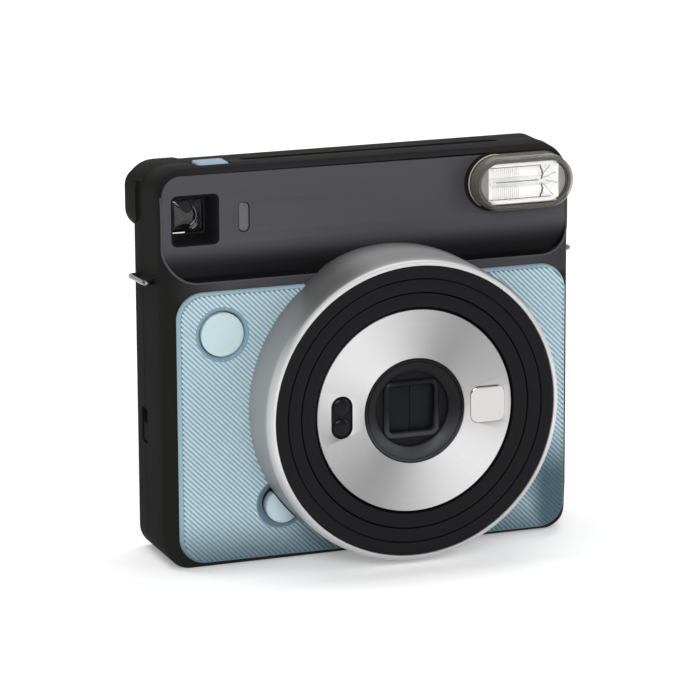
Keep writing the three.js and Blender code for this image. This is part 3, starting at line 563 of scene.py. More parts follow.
def front_cover():
    rings = []
    RB = 7.2
    def fr(z): return 6.7 - 4.3 * smooth01((z - 103.0) / 14.0) - 4.2 * smooth01((9.0 - z) / 8.0)
    seg = 8
    base = half(HW, 0, H, 7.6, RB, ZS)
    for i in range(seg + 1):
        q = PI / 2 * i / seg
        pts, ys = [], []
        # inset varies with height, so each point is taken from its own outline
        for k, (x, z) in enumerate(base):
            r = fr(z)
            d = r * (1 - math.sin(q))
            p = half(HW - d, d, H - d, max(0.2, 7.6 - d), RB - d, ZS)[k]
            pts.append(p); ys.append(shell_y(z) + r * (1 - math.cos(q)))
        rings.append((pts, ys))
    yb = 12.06
    for y in (3.0, 5.0, 8.5): rings.append((base, [y] * len(base)))
    rings.append((base, [yb - 0.12] * len(base)))
    e = half(HW - 0.1, 0.1, H - 0.1, 7.5, RB - 0.1, ZS)
    rings.append((e, [yb] * len(e)))
    w = 2.2
    inn = half(HW - w, w, H - w, 7.6 - w, RB - w, ZS)
    rings.append((inn, [yb] * len(inn)))
    rings.append((inn, [shell_y(z) + w for x, z in base]))
    ob = strip_solid("front_shell", rings)
    ease_corner(ob, 1, 1, HW, H, 7.6, r_top_right)
    ease_corner(ob, 1, -1, HW, 0.0, RB, r_foot)
    lower_top(ob)
    cuts = []
    # pocket for the upper panel
    cuts.append(prism("c1", rrect(-63.36, 63.36, 85.74, 117.05, [9.1, 6.0, 10.0, 10.0], 14), -20, -2.45))
    cuts.append(prism("c2", rrc(-53.2, 103.7, 14.9, 15.3, 1.6, 4), -8, 6))
    # lens opening: wide groove for the ring, then the housing
    cuts.append(prism("c3", circle(LX, LZ, 43.6, 128), -14, -1))
    g = prism("c4", circle(LX, LZ, 45.75, 128), -14, -2.44)
    cut(g, [prism("c4b", rrect(-70, 70, 82.9, 130, 0.5, 2), -15, 0)], "INTERSECT")
    cuts.append(g)
    cuts.append(prism("c5", circle(-47.4, 70.6, 6.9, 48), -14, -3))
    p = prism("c6", circle(-29.2, 17.2, 5.6, 48), -14, -3)
    cut(p, [prism("c6b", circle(LX, LZ, 45.9, 128), -15, 0)], "DIFFERENCE")
    cuts.append(p)
    cuts.append(prism("c7", rrect(-35, 46.4, 5.4, 10.9, 2.4, 8), 112, 125, "z"))
    cuts.append(prism("c8", rrect(-50.6, -40.0, 0.2, 9.45, 1.3, 6), 112, 125, "z"))
    cuts.append(prism("c9", rrect(-53.8, -38.2, -4.95, 11.2, 0.6, 3), -2, 5, "z"))
    cuts.append(prism("c10", circle(38, 1.2, 5.8, 40), -2, 5, "z"))
    for x in (-22, 26): cuts.append(lathe("c11", [(0.0001, -1), (1.95, -1), (1.95, 1.4), (1.0, 1.4), (1.0, 5), (0.0001, 5)], 24, x, 3, "z"))
    cuts.append(prism("c12", rrect(9.9, 15.2, 34.1, 44.7, 1.2, 4), -66, -60, "x"))
    for s in (-1, 1): cuts.append(prism("c13", circle(2.0, 84.9, 0.95, 16), s * 61, s * 66, "x"))
    cut(ob, cuts)
    finish(ob, 28)
    dress(ob, "front_shell", ROOT, ["front_cover", "film_slot_trim"])
    # soft lip round the sides and foot of the upper panel's recess; its lighter grey is a painted highlight on the
    # rounded edge
    def front_y(x, z):
        r = fr(z); u = abs(x) - (HW - r)
        return shell_y(z) + (r - math.sqrt(max(0.0, r * r - u * u)) if u > 0 else 0.0)
    path = [(63.42, z) for z in range(111, 96, -1)] + [(x, z) for x, z in arc(53.42, 95.68, 10.0, 0, -PI / 2, 24)]
    path = path + [(-x, z) for x, z in reversed(path)]
    rings = []
    for i, (x, z) in enumerate(path):
        a = path[max(0, i - 1)]; b = path[min(len(path) - 1, i + 1)]
        tx, tz = b[0] - a[0], b[1] - a[1]
        l = math.hypot(tx, tz); nx, nz = -tz / l, tx / l
        y = front_y(x, z) + 0.22
        rings.append([(x + nx * 0.34 * math.cos(u), y + 0.30 * math.sin(u), z + nz * 0.34 * math.cos(u)) for u in [2 * PI * k / 12 for k in range(12)]])
    lip = raw_recalc(loft("panel_lip", rings))
    finish(lip, 60)
    dress(lip, "lip", ROOT, ())


def rear_cover():
    y0 = 12.12
    RB = 7.2
    base = half(HW, 0, H, 7.6, RB, ZS)
    w = 2.2
    inn = half(HW - w, w, H - w - 1.5, 7.6 - w, RB - w, ZS)
    e = half(HW - 0.1, 0.1, H - 0.1, 7.5, RB - 0.1, ZS)
    n = len(base)
    rings = [(inn, [19.6] * n), (inn, [y0] * n), (e, [y0] * n), (base, [y0 + 0.12] * n)]
    r = 2.8
    for i in range(9):
        q = PI / 2 * i / 8
        d = r * (1 - math.cos(q))
        p = half(HW - d, d, H - d, 7.6 - d, RB - d, ZS)
        rings.append((p, [Y_BACK - r + r * math.sin(q)] * n))
    ob = strip_solid("rear_shell", rings)
    ease_corner(ob, 1, 1, HW, H, 7.6, r_top_right)
    # eyepiece housing
    def hump(d): return rrect(-HW - 0.35 + d, -46.9 - d, 96.2 + d, H - 0.3 - d, [3 - min(d, 2.2), 8.8 - d, 6 - d, 6 - d], 10)
    hr = [[(x, 17.0, z) for x, z in hump(0)]]
    for i in range(9):
        q = PI / 2 * i / 8
        d = 1.9 * (1 - math.cos(q))
        hr.append([(x, 29.0 - 1.9 + 1.9 * math.sin(q), z) for x, z in hump(d)])
    hb = raw_recalc(loft("hump", hr))
    cut(ob, [hb], "UNION")
    lower_top(ob, 108.0)
    cuts = [prism("d1", rrect(-61, 61, 5, 114.4, 5, 3), 12.9, 19.58)]
    cuts.append(prism("d2", rrect(-58.3, 59.5, 3.5, 94.5, 1.2, 4), 17, 24))
    cuts.append(prism("d3", circle(59.5, 19.6, 2.55, 48), 3.5, 94.5, "z"))
    cuts.append(lathe("d4", [(0.0001, 14), (4.95, 14), (4.95, 28.0), (6.2, 29.3), (6.2, 30), (0.0001, 30)], 64, -54, 104.7))
    cuts.append(prism("d5", rrect(9.9, 15.2, 34.1, 44.7, 1.2, 4), -66, -60, "x"))
    for s in (-1, 1): cuts.append(prism("d6", circle(16.4, 84.1, 0.95, 16), s * 61, s * 66, "x"))
    for x in (0, 14, 28): cuts.append(prism("d7", circle(x, 108, 3.3, 40), 18, 24))
    cuts.append(prism("d8", rrect(-30.25, -9.75, 105.75, 110.25, 1.0, 5), 18, 24))
    cuts.append(prism("d9", circle(59.5, 19.6, 1.15, 20), 2.3, 96, "z"))
    # room for the open door beside its hinge
    cuts.append(prism("d10", rrect(59.3, 62.35, 19.4, 24, 0.05, 1), 3.5, 94.5, "z"))
    cut(ob, cuts)
    finish(ob, 28)
    dress(ob, "shell", ROOT, ["rear_cover"])


def upper_panel():
    z0, z1, hw = 85.8, 116.93, 63.3
    zs = ZS
    seg = 6
    r = 0.35
    rt, rb = 5.95, 9.95
    base = half(hw, z0, z1, rt, rb, zs)
    rings = []
    for i in range(seg + 1):
        q = PI / 2 * i / seg
        d = r * (1 - math.sin(q))
        p = half(hw - d, z0 + d, z1 - d, rt - d, rb - d, zs)
        rings.append((p, [panel_y(max(z0 + 0.2, z)) + r * (1 - math.cos(q)) for x, z in base]))
    n = len(base)
    rings.append((base, [-2.6] * n))
    ob = strip_solid("upper_panel", rings)
    ease_corner(ob, 1, 1, hw, z1, rt, lambda y: 9.0)
    cuts = []
    cuts.append(lathe("u1", [(0.0001, -14), (45.75, -14), (45.75, 0), (0.0001, 0)], 160))
    # finder window, its corners eased
    vf = lambda i: rrc(-53.2, 103.7, 14.7 - 2 * i, 15.1 - 2 * i, 1.9, 8)
    cuts.append(prism("u2", vf(0), -8, 0))
    cuts.append(prism("u3", rrc(-38.3, 103.6, 3.5, 9.0, 1.74, 12), -8, 0))
    cuts.append(prism("u4", rrc(FX, FZ, 27.6, 12.9, 6.44, 16), -8, 0))
    # seat of the flash window
    cuts.append(prism("u5", rrc(FX - 0.35, FZ, 33.4, 17.6, 8.79, 20), -8, -4.55))
    cut(ob, cuts)
    bevel(ob, 0.22, 2, 50)
    finish(ob, 32)
    dress(ob, "graphite", ROOT, ["upper_front_panel"])


def grip_panel():
    hw, z0, z1, cx = 60.95, 1.8, 83.2, 0.15
    r1, r2 = 1.6, 1.8
    zs = [74, 70, 60, 50, 40, 30, 20, 12]
    R = 8.0
    base = half(hw, z0, z1, R, R, zs)
    n = len(base)
    rings = []
    for i in range(9):
        q = PI / 2 * i / 8
        d = r1 * (1 - math.sin(q))
        rings.append((half(hw - d, z0 + d, z1 - d, R - d, R - d, zs), [-10.85 + r2 * (1 - math.cos(q))] * n))
    rings.append((half(hw - 0.8, z0 + 0.8, z1 - 0.8, R - 0.8, R - 0.8, zs), [-7.4] * n))
    ob = strip_solid("grip_panel", rings, cx)
    cuts = [prism("g1", circle(LX, LZ, 45.2, 160), -14, -5), prism("g2", circle(-47.4, 70.6, 7.85, 80), -14, -5),
            prism("g3", circle(-30.0, 18.1, 7.3, 72), -14, -5)]
    cut(ob, cuts)
    finish(ob, 30)
    dress(ob, "blue", ROOT, ["front_grip_panel"])
    # ribs at 45 degrees, their ends clear of the rim
    pitch, prof = 1.082, [(0.0, 0.0), (0.30, 0.25), (0.46, 0.25), (0.80, 0.0)]
    y_low, crest = -10.80, -11.10
    L = 100.0
    ca = math.sqrt(0.5)
    ux, uz = ca, -ca          # along a rib
    px, pz = ca, ca           # across
    vs, fs = [], []
    top = []
    cnt = int(148 / pitch)
    s0 = -74.0
    for i in range(cnt):
        for f, h in ((0.0, 0.0), (0.30, 1.0), (0.50, 1.0), (0.82, 0.0)):
            top.append((s0 + (i + f) * pitch, y_low + (crest - y_low) * h))
    x_c, z_c = 0.15, 42.25
    row = lambda e: [(x_c + px * s + ux * e, y, z_c + pz * s + uz * e) for s, y in top]
    a, b = row(-L), row(L)
    k = len(top)
    ab = [(x_c + px * top[0][0] + ux * e, -10.4, z_c + pz * top[0][0] + uz * e) for e in (-L, L)]
    cd = [(x_c + px * top[-1][0] + ux * e, -10.4, z_c + pz * top[-1][0] + uz * e) for e in (-L, L)]
    vs = a + b + ab + cd
    for i in range(k - 1): fs.append((i, i + 1, k + i + 1, k + i))
    A0, A1, C0, C1 = 2 * k, 2 * k + 1, 2 * k + 2, 2 * k + 3
    fs.append((A0, A1, C1, C0))
    fs.append((0, k, A1, A0)); fs.append((k - 1, C0, C1, 2 * k - 1))
    fs.append(tuple(range(k)) + (C0, A0)); fs.append(tuple(range(k, 2 * k)) + (C1, A1))
    rib = raw_recalc(new_obj("grip_ribs", vs, fs))
    i0 = 0.85
    keep = prism("g4", rrect(cx - hw + i0, cx + hw - i0, z0 + i0, z1 - i0, R - i0, 16), -12, -10.2)
    cut(keep, [prism("g5", circle(LX, LZ, 45.2, 160), -14, -5), prism("g6", circle(-47.4, 70.6, 8.15, 80), -14, -5),
               prism("g7", circle(-30.0, 18.1, 7.65, 72), -14, -5)])
    cut(rib, [keep], "INTERSECT")
    finish(rib, 20)
    dress(rib, "ribs", ROOT, ())
    # dished seat round the shutter button, in a darker blue: painted shade in the dish
    d = lathe("shutter_seat", [(8.05, -10.6), (8.05, -10.98), (7.95, -11.10), (7.7, -11.12), (7.5, -11.02), (6.95, -10.5), (6.85, -10.2), (6.85, -8.6), (7.4, -8.6), (7.75, -9.6)], 96, -47.4, 70.6)
    finish(d, 35); dress(d, "blue_dish_shade", ROOT, ())
    # scooped seat beside the ring for the power button, in a still darker blue: painted shade in the scoop
    d = lathe("power_seat", [(7.45, -10.6), (7.45, -10.9), (7.3, -11.02), (7.1, -11.0), (5.9, -9.9), (5.2, -9.2), (5.2, -8.2), (6.4, -8.2), (7.2, -9.4)], 96, -30.0, 18.1)
    cut(d, [prism("g8", circle(-29.2, 17.2, 5.45, 64), -14, -5), prism("g9", circle(LX, LZ, 45.5, 160), -14, -5)])
    finish(d, 35); dress(d, "blue_seat_shade", ROOT, ())


def lens():
    # ring: cylindrical side, lip rolled over to the front
    prof = [(45.6, -10.95), (45.6, -18), (45.58, -24.6)]
    for i in range(1, 13):
        q = PI / 2 * i / 12
        prof.append((43.95 + 1.63 * math.cos(q), -24.9 - 4.12 * math.sin(q)))
    prof += [(43.75, -29.03), (43.6, -28.95), (43.5, -28.7), (43.5, -10.95)]
    ob = lathe("ring", prof, 256)
    finish(ob, 35); dress(ob, "ring", ROOT, ["lens_ring"])
    sk = lathe("ring_skirt", [(45.6, -10.95), (45.6, -4.7), (44.2, -4.7), (44.2, -10.95)], 90, a0=math.radians(52.9), a1=math.radians(127.1))
    finish(sk, 35); dress(sk, "ring", ROOT, ())
    # fixed housing with its two front bands
    def band(r0, r1, y0, y1, e=0.22):
        """front of a band from inner r0 at y0 to outer r1 at y1, edges eased"""
        return [(r0, y0 + e), (r0 + e * 0.3, y0 + e * 0.3), (r0 + e, y0), (r1 - e, y1), (r1 - e * 0.3, y1 + e * 0.3), (r1, y1 + e)]
    p = [(35.55, -25.0)] + band(35.55, 39.4, -28.25, -28.5) + [(39.4, -27.7), (39.72, -27.7)] + band(39.72, 43.38, -28.52, -28.82)
    p += [(43.38, -5), (39.9, -5), (39.9, -25.0)]
    ob = lathe("housing", p, 224)
    finish(ob, 40); dress(ob, "lensblack", ROOT, ["lens_housing"])
    p = [(31.08, -6.2)] + band(31.08, 35.2, -28.0, -28.2) + [(35.2, -8.2), (39.4, -8.2), (39.4, -6.2)]
    ob = lathe("barrel_mid", p, 200)
    finish(ob, 40); dress(ob, "lensblack", "mid_barrel", ["mid_barrel"])
    p = [(15.9, -25.0), (15.9, -26.35), (30.2, -26.35), (30.55, -26.9), (30.75, -26.7), (30.75, -7.2), (28.2, -7.2), (28.2, -25.0)]
    ob = lathe("barrel_inner", p, 200)
    finish(ob, 40); dress(ob, "lensblack", "inner_barrel", ["inner_barrel"])
    # spun face plate
    p = [(15.6, -26.5), (15.6, -27.4), (15.8, -27.6), (30.2, -27.6), (30.48, -27.35), (30.5, -26.5)]
    ob = lathe("face", p, 256)
    cut(ob, [prism("f1", rrc(28.9, LZ, 10.84, 11.04, 2.52, 10), -30, -25), prism("f2", rrc(-16.7, LZ, 6.6, 12.8, 3.29, 20), -30, -25)])
    bevel(ob, 0.12, 2, 50)
    finish(ob, 30); dress(ob, "face", "inner_barrel", ["face_plate"])
    # selfie mirror: shallow convex square
    def sq(i): return rrc(28.9, LZ, 10.7 - 2 * i, 10.9 - 2 * i, max(0.3, 2.45 - i), 10)
    rings = [[(x, -26.7, z) for x, z in sq(0)], [(x, -27.65, z) for x, z in sq(0)]]
    for i in range(1, 5):
        q = PI / 2 * i / 4
        rings.append([(x, -27.65 - 0.28 * math.sin(q), z) for x, z in sq(0.32 * (1 - math.cos(q)))])
    for k in range(1, 8):
        f = 1 - k / 8
        rings.append([(28.9 + (x - 28.9) * f, -27.93 - 0.22 * (1 - f * f), LZ + (z - LZ) * f) for x, z in sq(0.32)])
    ob = raw_recalc(loft("mirror_square", rings))
    finish(ob, 40); dress(ob, "mirror", "inner_barrel", ["selfie_mirror"])
    # sensor pill: floor and two round lenses
    rings = [[(x, -26.6, z) for x, z in rrc(-16.7, LZ, 6.4, 12.6, 3.19, 16)], [(x, -27.35, z) for x, z in rrc(-16.7, LZ, 6.4, 12.6, 3.19, 16)],
             [(x, -27.42, z) for x, z in rrc(-16.7, LZ, 6.2, 12.4, 3.09, 16)], [(x, -27.05, z) for x, z in rrc(-16.7, LZ, 5.8, 12.0, 2.89, 16)]]
    ob = raw_recalc(loft("sensor_pill", rings))
    finish(ob, 35); dress(ob, "lensblack", "inner_barrel", ["sensor_window"])
    for k, dz in enumerate((3.05, -3.05)):
        pr = [(0.0001, -26.75), (2.7, -26.75)] + [(2.7 * math.cos(PI / 2 * i / 10), -27.05 - 0.7 * math.sin(PI / 2 * i / 10)) for i in range(0, 10)] + [(0.0001, -27.75)]
        ob = lathe("sensor_lens_%d" % (k + 1), pr, 48, -16.7, LZ + dz)
        finish(ob, 45); dress(ob, "sensor", "inner_barrel", ())
    # bezel
    pr = [(15.45, -25.0), (15.45, -27.35), (15.25, -27.5), (14.95, -27.45), (14.75, -26.95), (14.55, -26.9), (14.4, -27.05), (14.2, -27.05), (11.7, -25.75), (11.42, -25.5), (11.42, -24.5), (15.2, -24.5)]
    ob = lathe("bezel_ring", pr, 128)
    finish(ob, 30); dress(ob, "bezel", "inner_barrel", ["lens_bezel"])
    # square frame on its plate
    def fo(i): return rrc(LX, LZ, 17.2 - 2 * i, 17.2 - 2 * i, 2.5 - i * 0.6, 10)
    def fi(i): return rrc(LX, LZ, 14.2 + 2 * i, 14.2 + 2 * i, 1.4 + i * 0.6, 10)
    seq = [(fi, 0, -23.4), (fi, 0, -25.0), (fi, 0.25, -25.25), (fo, 0.75, -25.3), (fo, 0.35, -25.15), (fo, 0, -24.8), (fo, 0, -24.1)]
    rings = [[(x, y, z) for x, z in f(i)] for f, i, y in seq]
    outer = circle(LX, LZ, 15.2, 44)
    ob = raw_recalc(loft_ring("frame_square", rings))
    finish(ob, 30); dress(ob, "bezel", "inner_barrel", ["barrier_frame"])
    pl = prism("frame_plate", circle(LX, LZ, 15.2, 96), -24.1, -23.4)
    cut(pl, [prism("fp", rrc(LX, LZ, 14.3, 14.3, 1.5, 8), -26, -22)])
    finish(pl, 30); dress(pl, "lensblack", "inner_barrel", ())
    for s, nm in ((-1, "left"), (1, "right")):
        a, b = (LX - 7.9, LX - 0.06) if s < 0 else (LX + 0.06, LX + 7.9)
        ob = soft_prism("leaf_" + nm, lambda i, a=a, b=b: rrect(a + i, b - i, LZ - 7.9 + i, LZ + 7.9 - i, 0.35, 3), -22.85, -22.1, 0.18, seg=3)
        finish(ob, 35); dress(ob, "leaf", "barrier_leaf_" + nm, ["barrier_leaf_" + nm])


def loft_ring(name, rings):
    """rings joined end to end: a closed loop section"""
    n = len(rings[0]); k = len(rings)
    vs = [p for r in rings for p in r]
    fs = []
    for q in range(k):
        p = (q + 1) % k
        for i in range(n):
            j = (i + 1) % n
            fs.append((q * n + i, q * n + j, p * n + j, p * n + i))
    return new_obj(name, vs, fs)


def buttons():
    sx, sz, r = -47.4, 70.6, 6.5
    pr = [(0.0001, -6.0), (7.3, -6.0), (7.3, -6.7), (6.55, -6.7), (6.55, -10.9), (6.45, -11.2), (6.2, -11.36), (5.6, -11.42), (0.0001, -11.3)]
    ob = lathe("button_shutter", pr, 96, sx, sz)
    finish(ob, 35); dress(ob, "blue_button", "shutter_button", ["shutter_button"])
    # power button: dome cut away where the ring passes
    px, pz = -29.2, 17.2
    pr = [(0.0001, -6.4), (5.25, -6.4), (5.25, -10.6)] + [(5.25 * math.cos(PI / 2 * i / 14), -10.6 - 1.75 * math.sin(PI / 2 * i / 14)) for i in range(1, 14)] + [(0.0001, -12.35)]
    ob = lathe("button_power", pr, 80, px, pz)
    cut(ob, [prism("p1", circle(LX, LZ, 45.95, 200), -16, -3)])
    finish(ob, 40); dress(ob, "blue_button", "power_button", ["power_button"])
    # top button in the darker blue: painted shade on its upward face
    def tb(i): return rrect(-49.75 + i, -40.35 - i, 1.3 + i, 9.1 - i, max(0.2, 1.1 - i), 8)
    ob = soft_prism("button_top", tb, 115.7, 118.75, 0.55, "z", 5, "b")
    finish(ob, 40); dress(ob, "blue_top_shaded", "top_button", ["top_button"])
    for n, x in (("mode", 0), ("flash", 14), ("timer", 28)):
        pr = [(0.0001, 18.4), (3.7, 18.4), (3.7, 19.0), (3.05, 19.0), (3.05, 21.9), (2.9, 22.15), (2.6, 22.28), (1.5, 22.15), (0.0001, 22.08)]
        ob = lathe("button_" + n, pr, 48, x, 108)
        finish(ob, 40); dress(ob, "shell", n + "_button", [n + "_button"])


def fittings():
    # viewfinder tunnel: square funnel with stepped walls and the front lens
    def t(w, h, r): return rrc(-53.2, 103.7, w, h, r, 8)
    rings = [[(x, -4.5, z) for x, z in t(14.5, 14.9, 1.8)], [(x, -4.55, z) for x, z in t(13.9, 14.3, 1.6)], [(x, -4.3, z) for x, z in t(13.4, 13.8, 1.4)],
             [(x, 1.2, z) for x, z in rrc(-53.5, 103.9, 10.4, 10.8, 1.2, 8)], [(x, 1.3, z) for x, z in rrc(-53.5, 103.9, 9.6, 10.0, 1.0, 8)],
             [(x, 18.9, z) for x, z in rrc(-53.6, 104.2, 9.4, 9.6, 1.0, 8)], [(x, 18.9, z) for x, z in t(13.6, 14.0, 1.6)], [(x, 1.0, z) for x, z in t(14.2, 14.6, 1.7)]]
    ob = raw_recalc(loft_ring("finder_tunnel", rings))
    finish(ob, 30); dress(ob, "lensblack", ROOT, ["viewfinder_tunnel"])
    # finder lens, bulged both ways; its glass is tinted grey, painted shade that darkens the view into the finder
    rings = []
    for k in range(0, 9):
        f = k / 8 if k else 0.02
        rings.append([(-53.5 + x * f, 1.5 + 1.6 * f * f * 0.8, 103.9 + z * f) for x, z in rrc(0, 0, 9.9, 10.3, 1.0, 8)])
    rings.append([(-53.5 + x, 3.4, 103.9 + z) for x, z in rrc(0, 0, 9.9, 10.3, 1.0, 8)])
    ob = raw_recalc(loft("finder_lens", rings))
    finish(ob, 40); dress(ob, "finderglass", ROOT, ["viewfinder_front_lens"])
    # inner finder block with an angled mirror plate, seen through the lens; the plate is black, a dark sheet that
    # stands for the shade inside the finder
    pl = [(-58.0, 6.0, 99.2), (-58.0, 6.0, 108.6), (-50.6, 13.5, 108.6), (-50.6, 13.5, 99.2)]
    rings = [[(x, y, z) for x, y, z in pl], [(x - 0.4, y + 0.5, z) for x, y, z in pl]]
    ob = raw_recalc(loft("finder_mask", rings))
    finish(ob, 30); dress(ob, "lensblack", ROOT, ())
    # edges of the finder optics: a white sill along the foot of the lens, with a faint glow, is a painted glint; dark
    # metal arcs at its right catch the light at the lens edge
    sl = soft_prism("finder_sill", lambda i: rrect(-58.7 + i, -54.4 - i, 98.95 + i, 99.25 - i, 0.12 - i, 3), 1.15, 1.45, 0.06, seg=2)
    finish(sl, 35); dress(sl, "bright", ROOT, ())
    for nm, rr, w, a0, a1 in (("a", 3.35, 0.16, -62, 48), ("b", 4.05, 0.10, -72, -18), ("c", 4.6, 0.14, -66, -38)):
        tr = [(rr + w * math.cos(u), 1.05 + w * math.sin(u)) for u in [2 * PI * k / 10 for k in range(10)]]
        ar = lathe("finder_arc_" + nm, tr, 40, -54.3, 104.2, a0=math.radians(a0), a1=math.radians(a1))
        finish(ar, 50); dress(ar, "lug", ROOT, ())
    pr = [(0.0001, 26.3), (4.6, 26.3), (4.6, 27.7)] + [(4.6 * (1 - i / 8.0) + 0.0001, 27.75 + 0.55 * (1 - (1 - i / 8.0) ** 2)) for i in range(1, 9)]
    ob = lathe("eyepiece_lens", pr, 64, -54, 104.7)
    finish(ob, 40); dress(ob, "glass", ROOT, ["viewfinder_eyepiece"])
    pr = [(4.9, 20.0), (4.9, 28.1), (5.2, 28.6), (6.0, 28.95), (6.1, 28.7), (5.6, 27.6), (5.6, 20.0)]
    ob = lathe("eyepiece_rim", pr, 72, -54, 104.7)
    finish(ob, 30); dress(ob, "rubber", ROOT, ())
    # timer lamp
    def tl(i): return rrc(-38.3, 103.6, 3.2 - 2 * i, 8.7 - 2 * i, 1.59 - i, 12)
    ob = soft_prism("timer_lamp", tl, -4.72, -2.9, 0.35, seg=4, ends="a")
    finish(ob, 40); dress(ob, "lamp", ROOT, ["timer_lamp_window"])
    # strap lugs
    for s, nm in ((-1, "left"), (1, "right")):
        P = [(61.9, 2.0), (64.0, 1.6), (65.8, 1.15), (66.7, 1.2), (66.95, 2.2), (66.95, 5.1), (66.93, 9.2), (66.93, 13.1), (66.88, 15.1), (66.5, 16.05), (65.6, 16.35), (64.0, 16.4), (61.9, 16.4)]
        rings = []
        pts = []
        for i in range(len(P) - 1):
            for k in range(4):
                t = k / 4
                p0 = P[max(0, i - 1)]; p1 = P[i]; p2 = P[i + 1]; p3 = P[min(len(P) - 1, i + 2)]
                q = [0.5 * (2 * p1[c] + (-p0[c] + p2[c]) * t + (2 * p0[c] - 5 * p1[c] + 4 * p2[c] - p3[c]) * t * t + (-p0[c] + 3 * p1[c] - 3 * p2[c] + p3[c]) * t ** 3) for c in (0, 1)]
                pts.append(q)
        pts.append(list(P[-1]))
        for i, (x, y) in enumerate(pts):
            a = pts[max(0, i - 1)]; b = pts[min(len(pts) - 1, i + 1)]
            tx, ty = b[0] - a[0], b[1] - a[1]
            l = math.hypot(tx, ty); nx, ny = ty / l, -tx / l
            rings.append([(s * (x + 0.62 * math.cos(u) * nx), y + 0.62 * math.cos(u) * ny, 84.9 - 0.8 * (y - 2.0) / 14.4 + 0.72 * math.sin(u)) for u in [2 * PI * k / 14 for k in range(14)]])
        ob = raw_recalc(loft("lug_" + nm, rings))
        finish(ob, 60); dress(ob, "lug", ROOT, ["strap_lug_" + nm])
    # side latch
    def la(i): return rrect(10.35 + i, 14.75 - i, 34.5 + i, 40.4 - i, 0.9, 5)
    ob = soft_prism("latch_slider", la, -63.75, -60.4, 0.35, "x", 3, "a")
    finish(ob, 40); dress(ob, "shell", "door_latch", ["door_latch"])
    # light strip on the back
    def ls(i): return rrect(-30 + i, -10 - i, 106 + i, 110 - i, 0.9 - i * 0.5, 6)
    ob = soft_prism("light_strip", ls, 19.8, 21.75, 0.25, "y", 3, "b")
    finish(ob, 40); dress(ob, "lamp", ROOT, ["mode_light_strip"])


